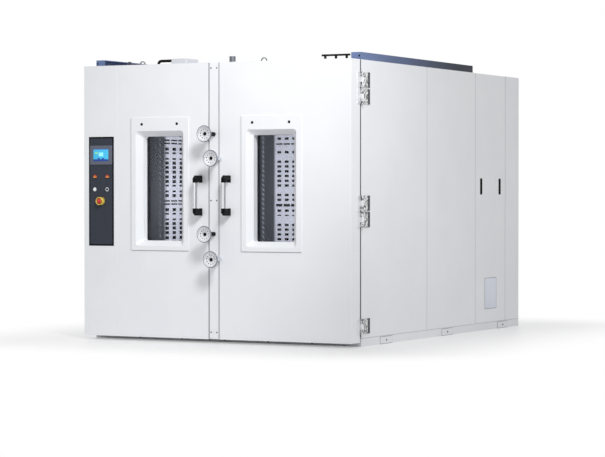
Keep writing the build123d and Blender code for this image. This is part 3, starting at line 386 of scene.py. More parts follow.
def fin_stack(name):
    """Aluminium fins, pressed close: bright edges with painted shade in the gaps 6 mm apart,
    coarser than real.
    """
    material, tree = start_material(name, "B4B8BD", 0.8, 0.45)
    source = add_node(tree, "TexCoord", output="Object")
    sockets = {"Vector": source, "Scale": 1 / (6 * MM) / 6.28, "Distortion": 0.3}  # turns / m
    gap_shade_bands = add_node(tree, "TexWave", sockets, "Fac", bands_direction="X")
    # The dark tone is painted shade in the gaps between fins.
    return paint(material, toned(tree, gap_shade_bands, "3A3D42", "C4C7CC", 0.0, 1.0))


def lamp_lens(name, hex_upper, hex_lower, hex_foot_shade, middle_z):
    """Polycarbonate lens with painted light from above: one tone above its middle, another below,
    and painted shade at its foot.
    """
    material, tree = start_material(name, hex_upper, 0.0, 0.2, IOR=1.58)
    blend = (middle_z - 4 * MM, middle_z + 4 * MM)
    body = toned(tree, object_axes(tree)["Z"], hex_lower, hex_upper, *blend)
    # The dark foot is painted shade.
    return paint(material, body, [(hex_foot_shade, within(tree, Z=(-FAR, middle_z - 7 * MM)))], glow=0.25)


def lit_display(name, low, high):
    """Backlit colour display: a cyan page with a dark header, a dark footer and pale fields."""
    material, tree = start_material(name, "3FA9CF", 0.0, 0.12, IOR=1.5)
    left, width = low[0], high[0] - low[0]
    foot, height = low[2], high[2] - low[2]
    layers = []
    # Tone of each field, and its sides and its foot and top as shares of the display.
    for tone, x0, x1, z0, z1 in (
        ("2E78C0", 0.0, 1.0, 0.93, 1.0), ("173A84", 0.0, 1.0, 0.0, 0.16),
        ("86D8EE", 0.36, 0.66, 0.40, 0.72), ("7CCB8C", 0.10, 0.30, 0.60, 0.74),
        ("1C3C96", 0.30, 0.42, 0.16, 0.28), ("1C3C96", 0.56, 0.72, 0.16, 0.26),
    ):
        across = (left + x0 * width, left + x1 * width)
        layers.append((tone, within(tree, X=across, Z=(foot + z0 * height, foot + z1 * height))))
    return paint(material, linear("34A4CC"), layers, glow=0.55)


# Surfaces worked out with numpy, each as its points and its faces

FINISH = {}


def add_mesh(name, surface, material):
    """A mesh object at the origin from a surface, with its material."""
    points, faces = surface
    mesh = bpy.data.meshes.new(name)
    mesh.from_pydata(points.reshape(-1, 3).tolist(), [], faces)
    mesh.update()
    mesh.materials.append(material)
    added = bpy.data.objects.new(name, mesh)
    bpy.context.scene.collection.objects.link(added)
    return added


def make_object(name, surface, finish, body, smooth_angle=40):
    """A piece from a surface in a finish, shaded smooth up to an angle, on its body."""
    piece = add_mesh(name, surface, FINISH[finish])
    mesh = piece.data
    mesh.polygons.foreach_set("use_smooth", np.ones(len(mesh.polygons), bool))
    mesh.set_sharp_from_angle(angle=math.radians(smooth_angle))
    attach(piece, body)
    return piece


def frame_axes(direction):
    """Two unit vectors square to a direction, so that side x up = direction."""
    forward = np.array(direction, float)
    forward /= np.linalg.norm(forward)
    side = np.cross((0, 0, 1), forward) if abs(forward[2]) < 0.9 else np.array((1.0, 0, 0))
    side /= np.linalg.norm(side)
    return side, np.cross(forward, side), forward


def ring_quads(rings, count, closed=False):
    """Four-sided faces between neighbouring rings of count points; closed joins last to first."""
    around = np.arange(count)
    following = np.roll(around, -1)
    row = np.arange(rings)[:, None] * count
    above = np.roll(row, -1, 0)
    if not closed:
        row, above = row[:-1], above[:-1]
    quads = np.stack((row + around, row + following, above + following, above + around), -1)
    return quads.reshape(-1, 4)


def turned_rings(direction, profile, segments):
    """Rings about an axis through the origin: for each (radius, height) row of the profile,
    height * axis + radius * (cos t * side + sin t * up), with t going once round."""
    side, up, forward = frame_axes(direction)
    turn = np.linspace(0, 2 * math.pi, segments, endpoint=False)
    spokes = np.cos(turn)[:, None] * side + np.sin(turn)[:, None] * up
    return profile[:, 0, None, None] * spokes + profile[:, 1, None, None] * forward


def turned_shapes(centres, direction, profile, segments=24):
    """Turned solids, one at each centre: the profile's first and last rows lie on the axis, and
    the rings of the rows between them are joined, and closed by a fan at each end."""
    profile = np.array(profile, float)
    rings = turned_rings(direction, profile[1:-1], segments)
    poles = profile[[0, -1], 1, None] * frame_axes(direction)[2]
    one = np.vstack((poles[:1], rings.reshape(-1, 3), poles[1:]))
    points = np.array(centres, float)[:, None, :] + one[None]
    around = np.arange(segments)
    following = np.roll(around, -1)
    last = 1 + (len(rings) - 1) * segments
    start_fan = np.stack((np.zeros(segments, int), 1 + following, 1 + around), -1)
    end_fan = np.stack((np.full(segments, len(one) - 1), last + around, last + following), -1)
    blocks = (1 + ring_quads(len(rings), segments), start_fan, end_fan)
    faces = []
    for shift in range(0, points.shape[0] * len(one), len(one)):
        for block in blocks:
            faces.extend((block + shift).tolist())
    return points, faces


def turned_ring(centre, direction, profile, segments):
    """A turned ring: a closed loop of (radius, height) rows goes round the axis."""
    rings = turned_rings(direction, np.array(profile, float), segments)
    return np.array(centre) + rings, ring_quads(len(profile), segments, closed=True).tolist()


def rounded_outline(width, height, radius, per_corner=6):
    """Outline of a rounded rectangle: quarter circles about its four inner corners."""
    angle = np.linspace(0, math.pi / 2, per_corner)
    corners = []
    for quarter, (sx, sy) in enumerate(((1, 1), (-1, 1), (-1, -1), (1, -1))):
        centre = np.array((sx * (width / 2 - radius), sy * (height / 2 - radius)))
        swing = angle + quarter * math.pi / 2
        corners.append(centre + radius * np.stack((np.cos(swing), np.sin(swing)), -1))
    return np.vstack(corners)


def stacked_rings(centre, direction, rings):
    """A closed shell through (outline, height) rings square to a direction: a point is centre +
    x * side + y * up + height * direction; both ends are capped."""
    side, up, forward = frame_axes(direction)
    points = np.stack([
        np.array(centre) + outline[:, :1] * side + outline[:, 1:] * up + height * forward
        for outline, height in rings
    ])
    count = points.shape[1]
    faces = ring_quads(len(points), count).tolist()
    around = np.arange(count)
    faces.append(around[::-1].tolist())
    faces.append(((len(points) - 1) * count + around).tolist())
    return points, faces


def perforated_sheet(across, up, holes, place):
    """A flat sheet cut by straight lines at the values across and up; holes[i, j] leaves out the
    cell between lines i, i+1 and j, j+1; place turns (across, up, layer) into a point. The two
    faces are joined by a wall wherever a kept cell meets a left-out one or the sheet's edge."""
    grid = np.meshgrid(across, up, indexing="ij")
    points = np.stack([place(*grid, layer) for layer in (0, 1)])
    number = np.arange(2 * len(across) * len(up)).reshape(2, len(across), len(up))
    kept = ~holes

    def cell_points(layer, cells, *steps):
        """Numbers of a layer's points at steps from the first corner of each cell."""
        return [number[layer, cells[:, 0] + di, cells[:, 1] + dj] for di, dj in steps]

    index = np.argwhere(kept)
    loop = ((0, 0), (1, 0), (1, 1), (0, 1))
    faces = [np.stack(cell_points(0, index, *loop), -1)]
    faces.append(np.stack(cell_points(1, index, loop[0], *loop[:0:-1]), -1))
    padded = np.pad(kept, 1)
    walls = (((-1, 0), (0, 1), (0, 0)), ((1, 0), (1, 0), (1, 1)),
             ((0, -1), (0, 0), (1, 0)), ((0, 1), (1, 1), (0, 1)))
    for (di, dj), start, end in walls:
        beside = padded[1 + di : 1 + di + kept.shape[0], 1 + dj : 1 + dj + kept.shape[1]]
        edge = np.argwhere(kept & ~beside)
        (a0, b0), (a1, b1) = (cell_points(layer, edge, start, end) for layer in (0, 1))
        faces.append(np.stack((b0, a0, a1, b1), -1))
    used = np.unique(np.concatenate([f.ravel() for f in faces]))
    renumber = np.zeros(number.size, int)
    renumber[used] = np.arange(len(used))
    return points.reshape(-1, 3)[used], renumber[np.vstack(faces)].tolist()


def pan_head(radius, height):
    """Profile of a screw's pan head, from its seat to its crown: straight side, then a low dome."""
    rim, dome = (radius, height * 0.45), (radius * 0.8, height * 0.85)
    return [(0, 0), (radius, 0), rim, dome, (0, height)]


def bead(low, high, radius):
    """An upright bar between two corners: a rounded rectangle carried straight up."""
    outline = rounded_outline(high[0] - low[0], high[1] - low[1], radius, 4)
    centre = ((low[0] + high[0]) / 2, (low[1] + high[1]) / 2, low[2])
    return stacked_rings(centre, (0, 0, 1), [(outline, 0.0), (outline, high[2] - low[2])])


# Sizes and colours that a user would change


def metres(name, description, default):
    """A length setting in metres."""
    return FloatProperty(name=name, description=description, default=default, unit="LENGTH")


class ChamberSizes(bpy.types.PropertyGroup):
    """Sizes of the trims, in metres."""

    hole_width: metres("Hole width", "Width of a hole of the left air panel", 0.057)
    hole_pitch: metres("Hole pitch", "Column pitch of the left air panel", 0.111)
    row_period: metres("Row period", "Height after which the left panel's rows repeat", 0.490)
    rear_hole_width: metres("Rear hole width", "Width of a hole of the rear air panel", 0.038)
    rear_hole_pitch: metres("Rear hole pitch", "Column pitch of the rear air panel", 0.070)
    rear_row_period: metres("Rear row period", "Height after which the rear rows repeat", 1.018)
    plug_radius: metres("Plug radius", "Radius of a black plug over a window", 0.0105)
    screw_radius: metres("Screw radius", "Radius of a small screw head", 0.0055)
    cap_radius: metres("Cap radius", "Radius of a handwheel's centre cap", 0.014)
    segments: IntProperty(name="Segments", description="Segments of a wheel cap", default=24, min=8)


def hex_digits(name, description, default):
    """A colour setting, as six sRGB hex digits."""
    return StringProperty(name=name, description=description, default=default)


class ChamberColours(bpy.types.PropertyGroup):
    """Colours of the main finishes, as sRGB hex digits."""

    shell: hex_digits("Shell", "Powder coat of walls and leaves", "F3F5F8")
    shell_deep: hex_digits("Shell, deeper", "Deeper tone of the powder coat", "EFF1F5")
    plate: hex_digits("Plate", "Anodised tone of the bare plate", "EDF1FA")


def finish_rows(tones):
    """Rows of a finish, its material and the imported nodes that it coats."""
    lamp_middle = float(middle_of("panel_lamps")[2])
    rows = [
        ("shell",
         coated_steel("powder_coated_steel_white", tones.shell, tones.shell_deep, SHELL_ROUGHNESS),
         "floor_slab roof_panel bulkhead rear_panel left_column left_leaf right_leaf"
         " centre_strip"),
        ("seamed", lined_coat(
            "powder_coated_side_panels", tones.shell, "EFF1F5", "C4C7CC", panel_seams()),
         "wall_left wall_right machine_frame access_panel_left access_panel_right"),
        # The window frames carry painted shade in A4A6AA along their left and lower edges.
        ("frame", lined_coat(
            "powder_coated_window_frame", tones.shell, "F0F2F6", "A4A6AA", frame_shade_bands()),
         "window_frame_left window_frame_right"),
        ("plinth", coated_steel("powder_coated_steel_plinth", "F0F2F5", "EBEDF1", 0.45),
         "base_frame pocket_covers"),
        ("slate", slate_coated_steel("powder_coated_steel_slate"), "control_fascia"),
        ("beam", beam_enamel("enamelled_steel_blue_grey"), "roof_beams"),
        ("motor", coated_steel("machine_enamel_dark_grey", "33363B", "2B2E33", 0.5),
         "fan_motor compressors"),
        ("stainless", brushed_stainless("brushed_stainless_steel"),
         "portal_frame circulation_fan"),
        ("lining", plenum_lined_steel("brushed_stainless_lining"), "lining"),
        # The near ends of both air panels carry painted shade.
        ("side_sheet", panel_sheet(
            "perforated_stainless_side", "Y", painted_shade_until=-0.745, bright_from=-0.69,
            notch_at=-0.803, notch_pitch=0.0455, notch_strength=0.35), "duct_left"),
        ("rear_sheet", panel_sheet(
            "perforated_stainless_rear", "X", painted_shade_until=-0.53, bright_from=-0.505,
            notch_at=-0.628, notch_pitch=0.0395, notch_strength=0.85), "duct_rear"),
        ("chrome", chrome_plate("chrome_plated_steel"), "wheel_posts_bright switch_rings"),
        ("zinc", zinc_plated_steel("zinc_plated_steel"),
         "body_fasteners roof_metal_fittings"),
        ("fins", fin_stack("rolled_aluminium_fins"), "air_coils condenser"),
        ("rubber", seal_rubber("epdm_seal_rubber"), "door_seal_left door_seal_right"),
        ("glass", tinted_glass("tinted_float_glass"), "window_panes_left window_panes_right"),
        ("black_plastic",
         moulded_plastic("glass_filled_nylon_black", "0C0D10", "17181C", 0.38),
         "glazing_ring_left glazing_ring_right condenser_fan key_rotor"),
        ("bracket",
         moulded_plastic("reinforced_nylon_deep_black", "040507", "0A0B0E", 0.5, 0.12),
         "roof_black_frames handle_brackets_left handle_brackets_right wheel_posts_black"),
        ("gasket", moulded_plastic("epdm_gasket_grey", "3E4045", "505257", 0.6), ""),
        ("hinge", hinge_steel("nickel_plated_hinge_wall", "34383C", dark_reflection_from=-1.409),
         "hinge_fixed_left hinge_fixed_right"),
        ("hinge_leaf", hinge_steel("nickel_plated_hinge_leaf", "E2E4E8", dark_reflection_from=1.0),
         "hinge_leaf_left hinge_leaf_right"),
        ("bezel", moulded_plastic("abs_panel_bezel_grey", "555A6A", "626676", 0.42),
         "touch_panel"),
        ("box", moulded_plastic("abs_junction_box_pale", "C9CCD1", "D8DADF", 0.5),
         "roof_box"),
        ("lens",
         lamp_lens("polycarbonate_lamp_lens", "A8402A", "E8923A", "2A1C14", lamp_middle),
         "panel_lamps"),
        ("white_cap", gloss_plastic("acrylic_button_white", "F2F2F2", "FFFFFF"),
         "push_button"),
        ("red", gloss_plastic("polycarbonate_stop_red", "B01606", "E03A24"), "stop_head"),
        ("yellow", gloss_plastic("polycarbonate_stop_yellow", "E8C23E", "F7E36A"),
         "stop_collar"),
        ("plate", coated_steel("anodised_plate_pale_blue", tones.plate, "E6EBF7", 0.5), ""),
    ]
    # A wheel's rings and a bar's lines are drawn about its own centre, so each has its chrome.
    for number in range(1, 5):
        node = f"handwheel_{number}"
        chrome = handwheel_chrome(f"polished_chrome_wheel_{number}", middle_of(node))
        rows.append((node, chrome, node))
    for side, _ in SIDES:
        node = f"handle_bar_{side}"
        rows.append((node, bar_chrome(f"polished_chrome_bar_{side}", middle_of(node)[0]), node))
    return rows


class CHAMBER_OT_finishes(bpy.types.Operator):
    """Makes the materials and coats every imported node."""

    bl_idname = "chamber.finishes"
    bl_label = "Finishes"

    def execute(self, context):
        for finish, material, nodes in finish_rows(context.scene.chamber_colours):
            FINISH[finish] = material
            for node in nodes.split():
                NODES[node].data.materials.clear()
                NODES[node].data.materials.append(material)
        coated = FINISH.values()
        bare = [name for name, node in NODES.items() if node.data.materials[0] not in coated]
        if bare:
            raise RuntimeError(f"nodes without a finish: {bare}")
        return {"FINISHED"}


# Rows of the air panels by the height of their holes, each given by its height above the base, all
# in mm. The first row is a slot whose middle is at the base, and the rows repeat upwards and
# downwards after a period.
TALL, SHORT, REAR, SLOT, DEEP_SLOT, LOW_SLIT = 25, 15, 20, 12, 22, 10
SIDE_BASE, REAR_BASE = 1.0355, 1.024
SIDE_ROWS = {SLOT: (0, 26), TALL: (69, 183, 219, 259, 296, 332, 445), SHORT: (103, 149, 366, 412)}
REAR_ROWS = {
    REAR: (45, 85, 164, 203, 243, 282, 322, 362, 441, 554, 594, 634, 674, 735, 775, 815, 854, 973),
    DEEP_SLOT: (0,), SLOT: (509,), LOW_SLIT: (934,),
}
SIDE_FIRST_COLUMN, REAR_FIRST_COLUMN = -0.694, -0.475
SLOT_SHARE = 0.86  # a slot's width as a share of the column pitch
SHEET_THICKNESS = 1.5 * MM
PLAIN, HOLE, WIDE = 0, 1, 2  # kinds of the cells between two lines


class CHAMBER_OT_air_panels(bpy.types.Operator):
    """Replaces the two coarse air panels by sheets with the full perforation."""

    bl_idname = "chamber.air_panels"
    bl_label = "Air panels"

    def rows(self, low, high, offsets, period, base):
        """Lines up the sheet and the kind of each row of cells between them."""
        margin = 10 * MM
        steps = sorted((offset, height) for height in offsets for offset in offsets[height])
        lines, kinds = [low], []
        start = base - math.ceil((base - low) / period) * period
        while start < high:
            for offset, height in steps:
                bottom = start + (offset - height / 2) * MM
                top = bottom + height * MM
                if bottom > low + margin and top < high - margin:
                    lines += [bottom, top]
                    kinds += [PLAIN, WIDE if height in (SLOT, DEEP_SLOT) else HOLE]
            start += period
        return np.array(lines + [high]), np.array(kinds + [PLAIN])

    def columns(self, low, high, width, pitch, first):
        """Lines across the sheet and the kind of each column: a hole lies centred in its slot."""
        reach = pitch * SLOT_SHARE / 2
        count = int((high - first - reach - 4 * MM) // pitch) + 1
        centres = first + np.arange(count) * pitch
        marks = centres[:, None] + np.array((-reach, -width / 2, width / 2, reach))
        kinds = np.tile((PLAIN, WIDE, HOLE, WIDE), count)
        return np.concatenate(([low], marks.ravel(), [high])), np.append(kinds, PLAIN)

    def sheet(self, side, node, normal, columns, rows):
        """The perforated sheet in place of a node, and a black sheet behind it that stands in for
        the shade in the plenum.
        behind it. Its face is the plane square to X where normal is 0, and to Y where it is 1."""
        low, high = corner(node)
        start, end = low[1 - normal], high[1 - normal]
        face, inward = ((high[0], -1), (low[1], 1))[normal]

        def place(across, up, layer):
            depth = np.full_like(across, face + inward * layer * SHEET_THICKNESS)
            return np.stack((across, depth, up) if normal else (depth, across, up), -1)

        up, row_kind = self.rows(low[2], high[2], *rows)
        lines, column_kind = self.columns(start, end, *columns)
        hole = (column_kind[:, None] == HOLE) & (row_kind[None] != PLAIN)
        slot = (column_kind[:, None] == WIDE) & (row_kind[None] == WIDE)
        surface = perforated_sheet(lines, up, hole | slot, place)
        name = f"air_panel_{side}"
        piece = make_object(name, surface, f"{side}_sheet", "chamber", 20)
        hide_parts(node)
        outline = ((start, low[2]), (end, low[2]), (end, high[2]), (start, high[2]))
        corners = [place(np.array(a), np.array(u), layer) for layer in (2, 3) for a, u in outline]
        box = [(0, 1, 2, 3), (7, 6, 5, 4), (1, 0, 4, 5), (2, 1, 5, 6), (3, 2, 6, 7), (0, 3, 7, 4)]
        surface = np.array(corners), box
        # The black sheet behind the holes is painted shade of the unlit plenum.
        make_object(f"{name}_shade_backing", surface, "bracket", "chamber", 20)

    def execute(self, context):
        values = context.scene.chamber_sizes
        columns = (values.hole_width, values.hole_pitch, SIDE_FIRST_COLUMN)
        self.sheet("side", "duct_left", 0, columns, (SIDE_ROWS, values.row_period, SIDE_BASE))
        columns = (values.rear_hole_width, values.rear_hole_pitch, REAR_FIRST_COLUMN)
        self.sheet("rear", "duct_rear", 1, columns, (REAR_ROWS, values.rear_row_period, REAR_BASE))
        return {"FINISHED"}


class CHAMBER_OT_handwheel_caps(bpy.types.Operator):
    """Puts a black domed cap in the middle of each handwheel."""

    bl_idname = "chamber.handwheel_caps"
    bl_label = "Handwheel caps"

    def execute(self, context):
        values = context.scene.chamber_sizes
        radius, rise, root, hub_depth = values.cap_radius, 7 * MM, -4 * MM, 16 * MM
        # The dome is a quarter ellipse, filled out a little towards its edge.
        angle = np.linspace(0, math.pi / 2, 6)[1:-1]
        dome = [(radius * math.cos(a) ** 0.8, rise * math.sin(a)) for a in angle]
        profile = [(0, root), (radius, root), (radius, 0.5 * MM), *dome, (0, rise)]
        for number in range(1, 5):
            node = f"handwheel_{number}"
            centre = middle_of(node)
            centre[1] = corner(node)[0][1] + hub_depth
            surface = turned_shapes([centre], (0, -1, 0), profile, values.segments)
            name, body = f"handwheel_cap_{number}", f"wheel_{number}"
            make_object(name, surface, "bracket", body)
        return {"FINISHED"}


STRIP_SCREW_HEIGHTS = (0.082, 1.068, 2.0585)
HINGE_SCREW_HEIGHTS = (0.148, 0.930, 1.0505, 1.8305, 1.9535)
HINGE_SCREW_X = 1.156
WINDOW_MIDDLES = {"left": -0.470, "right": 0.490}
WINDOW_PLUG_OFFSET = 0.155
WINDOW_PLUG_HEIGHT = 1.647


class CHAMBER_OT_small_fixings(bpy.types.Operator):
    """Adds the strip screws, the hinge screws and the plugs over the windows."""

    bl_idname = "chamber.small_fixings"
    bl_label = "Small fixings"

    def execute(self, context):
        values = context.scene.chamber_sizes
        head, segments = pan_head(values.screw_radius, 2.5 * MM), 12
        columns = (STRIP_LOW[0] + 15 * MM, STRIP_HIGH[0] - 15 * MM)
        centres = [(x, STRIP_LOW[1], z) for x in columns for z in STRIP_SCREW_HEIGHTS]
        surface = turned_shapes(centres, (0, -1, 0), head, segments)
        make_object("strip_screws", surface, "bracket", "right_door")
        for side, sign in SIDES:
            line = corner(f"hinge_fixed_{side}")[1][1] - 30 * MM
            centres = [(sign * HINGE_SCREW_X, line, z + step)
                       for z in HINGE_SCREW_HEIGHTS for step in (-22 * MM, 22 * MM)]
            surface = turned_shapes(centres, (sign, 0, 0), head, segments)
            make_object(f"hinge_screws_{side}", surface, "bracket", "chamber")
        plug = pan_head(values.plug_radius, 3 * MM)
        for side, _ in SIDES:
            face_y = corner(f"window_frame_{side}")[0][1]
            centres = [(WINDOW_MIDDLES[side] + step, face_y, WINDOW_PLUG_HEIGHT)
                       for step in (-WINDOW_PLUG_OFFSET, WINDOW_PLUG_OFFSET)]
            surface = turned_shapes(centres, (0, -1, 0), plug, 16)
            make_object(f"window_plugs_{side}", surface, "bracket", f"{side}_door")
        return {"FINISHED"}


GASKET_FOOT, GASKET_TOP = 0.036, 2.098
JAMB_FACE_X = 1.1492


class CHAMBER_OT_gaskets(bpy.types.Operator):
    """Adds the grey beads beside the centre strip and the black ones in the gap at the hinges."""

    bl_idname = "chamber.gaskets"
    bl_label = "Gaskets"

    def execute(self, context):
        front, back = LEAF_FACE + 0.4 * MM, LEAF_FACE + 6.4 * MM
        for side, start, end in (
            ("left", STRIP_LOW[0] - 6.4 * MM, STRIP_LOW[0] - 0.4 * MM),
            ("right", STRIP_HIGH[0] + 0.3 * MM, STRIP_HIGH[0] + 6.7 * MM),
        ):
            surface = bead((start, front, GASKET_FOOT), (end, back, GASKET_TOP), 1.5 * MM)
            make_object(f"strip_gasket_{side}", surface, "gasket", "right_door")
        for side, sign in SIDES:
            low, high = corner(f"door_seal_{side}")
            inner = high[0] if sign > 0 else -low[0]
            start, end = sorted((sign * (inner + 0.3 * MM), sign * JAMB_FACE_X))
            foot, top = (start, low[1] + 1 * MM, low[2]), (end, high[1] - 0.8 * MM, GASKET_TOP)
            surface = bead(foot, top, 2 * MM)
            make_object(f"gap_gasket_{side}", surface, "bracket", f"{side}_door")
        return {"FINISHED"}


class CHAMBER_OT_beam_ends(bpy.types.Operator):
    """Closes the front ends of the roof beams and sets a black plug into each."""

    bl_idname = "chamber.beam_ends"
    bl_label = "Beam ends"

    def execute(self, context):
        width, play = 80 * MM, 0.4 * MM
        front, height = BEAM_LOW[1], BEAM_HIGH[2] - BEAM_LOW[2]
        middle_z = (BEAM_LOW[2] + BEAM_HIGH[2]) / 2
        outline = rounded_outline(width - play, height - play, 1.5 * MM, 4)
        plug = pan_head(7.5 * MM, 1.2 * MM)
        for side, sign in SIDES:
            centre_x = sign * (BEAM_HIGH[0] - width / 2)
            centre = (centre_x, front + 1 * MM, middle_z)
            surface = stacked_rings(centre, (0, -1, 0), [(outline, 0.0), (outline, 2 * MM)])
            make_object(f"beam_end_{side}", surface, "beam", "chamber")
            spot = (centre_x + sign * 27 * MM, front - 1 * MM, middle_z)
            surface = turned_shapes([spot], (0, -1, 0), plug, 16)
            make_object(f"beam_plug_{side}", surface, "bracket", "chamber")
        return {"FINISHED"}


class CHAMBER_OT_stop_shroud(bpy.types.Operator):
    """Replaces the plain collar of the emergency stop by its yellow shroud."""

    bl_idname = "chamber.stop_shroud"
    bl_label = "Stop shroud"

    def execute(self, context):
        centre = middle_of("stop_collar")
        centre[1] = corner("stop_collar")[1][1]
        # Radius and height in mm: wall, rounded rim, flare, floor and the bore for the stem.
        rows = ((30.5, 0), (30.5, 31.5), (28, 34), (25.2, 32), (24.5, 8), (10.8, 8), (10.8, 0))
        surface = turned_ring(centre, (0, -1, 0), np.array(rows) * MM, 48)
        piece = make_object("stop_shroud", surface, "yellow", "left_door", 25)
        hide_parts("stop_collar")
        return {"FINISHED"}


class CHAMBER_OT_touch_display(bpy.types.Operator):
    """Sets the lit display into the touch panel's pocket."""

    bl_idname = "chamber.touch_display"
    bl_label = "Touch display"

    def execute(self, context):
        width, height = 0.1365, 0.0925
        centre = middle_of("touch_panel")
        centre[1] = corner("touch_panel")[0][1] + 1.45 * MM
        outline = rounded_outline(width, height, 1.5 * MM, 4)
        rings = [(outline, 0.0), (outline, 0.6 * MM), (outline * 0.995, 0.8 * MM)]
        half = np.array((width / 2, 0, height / 2))
        FINISH["display"] = lit_display("backlit_colour_display", centre - half, centre + half)
        surface = stacked_rings(centre, (0, -1, 0), rings)
        make_object("touch_display", surface, "display", "left_door")
        return {"FINISHED"}


HAND_SLOT_HEIGHT = 1.179
HAND_SLOT_INSET = 0.120
# Width, height and corner radius of the hand-slot liner's outlines, and their heights, in mm.
LINER_RINGS = (
    (32, 122, 6, -15.5), (36, 126, 7, -14.5), (36, 126, 7, 0.6), (44, 134, 10, 0.9),
    (44, 134, 10, 0.1), (39.2, 129.2, 7.6, 0.05), (39.2, 129.2, 7.6, -16.6),
)
COVER_OFFSETS = (0.420, 1.533, 2.659)  # of the pocket covers, from the base's front
COVER_WIDTH = 0.207
PLATE_WIDTH, PLATE_HEIGHT = 0.237, 0.249
PLATE_PLACE = (0.9015, 0.2995)  # Y and Z of its middle


class CHAMBER_OT_side_trims(bpy.types.Operator):
    """Lines the hand slots, seals the pocket covers and adds the bare plate on the right side."""

    bl_idname = "chamber.side_trims"
    bl_label = "Side trims"

    def execute(self, context):
        liner = [(rounded_outline(width * MM, height * MM, radius * MM), rise * MM)
                 for width, height, radius, rise in LINER_RINGS]
        base_low, base_high = corner("base_frame")
        cover_low, cover_high = corner("pocket_covers")
        cover_height, middle_z = cover_high[2] - cover_low[2], (cover_low[2] + cover_high[2]) / 2
        outline = rounded_outline(COVER_WIDTH + 7 * MM, cover_height + 5 * MM, 3 * MM, 4)
        seal = [(outline, 0.0), (outline, 0.7 * MM)]
        for side, sign in SIDES:
            low, high = corner(f"access_panel_{side}")
            face_x = high[0] if sign > 0 else low[0]
            for place, slot_y in (("front", low[1] + HAND_SLOT_INSET),
                                  ("rear", high[1] - HAND_SLOT_INSET)):
                centre = (face_x, slot_y, HAND_SLOT_HEIGHT)
                points, faces = stacked_rings(centre, (sign, 0, 0), liner)
                surface = points, [face[::-1] for face in faces]
                name, body = f"hand_slot_liner_{side}_{place}", f"side_cover_{side}"
                make_object(name, surface, "black_plastic", body)
        for side, sign in SIDES:
            for number, offset in enumerate(COVER_OFFSETS, 1):
                centre = (sign * base_high[0], base_low[1] + offset, middle_z)
                surface = stacked_rings(centre, (sign, 0, 0), seal)
                name = f"cover_seal_{side}_{number}"
                make_object(name, surface, "gasket", "chamber")
        centre = (corner("access_panel_right")[1][0], *PLATE_PLACE)
        outline = rounded_outline(PLATE_WIDTH, PLATE_HEIGHT, 3 * MM, 4)
        rim = rounded_outline(PLATE_WIDTH + 8 * MM, PLATE_HEIGHT + 6 * MM, 3 * MM, 4)
        for name, finish, rings in (
            ("side_plate_bed", "gasket", [(rim, 0.0), (rim, 0.4 * MM)]),
            ("bare_side_plate", "plate",
             [(outline, 0.0), (outline, 0.7 * MM), (outline * 0.996, 1.0 * MM)]),
        ):
            surface = stacked_rings(centre, (1, 0, 0), rings)
            make_object(name, surface, finish, "side_cover_right")
        return {"FINISHED"}


# Studio: place and angle of the photograph's camera, fitted to the body's corners.
PHOTO_WIDTH = 605
FOCAL_PIXELS = 2245.57
CAMERA_PLACE = (8.4218, -16.2141, 1.1179)
CAMERA_YAW = 27.8077
CAMERA_PITCH = 0.8822
SENSOR_WIDTH = 36.0
WHITE = (1, 1, 1, 1)
WORLD_LIGHT = 0.60
FLOOR_REACH = 60.0
# The shadow on the floor: half of the body's width and depth, less a little, the middle of its
# depth, how far the shadow reaches past them, and the share of paper white within them.
SHADOW_HALF = (1.15, 1.60, 0)
SHADOW_MIDDLE_Y = -0.09
SHADOW_REACH = 1.5
SHADOW_WHITE = 0.32


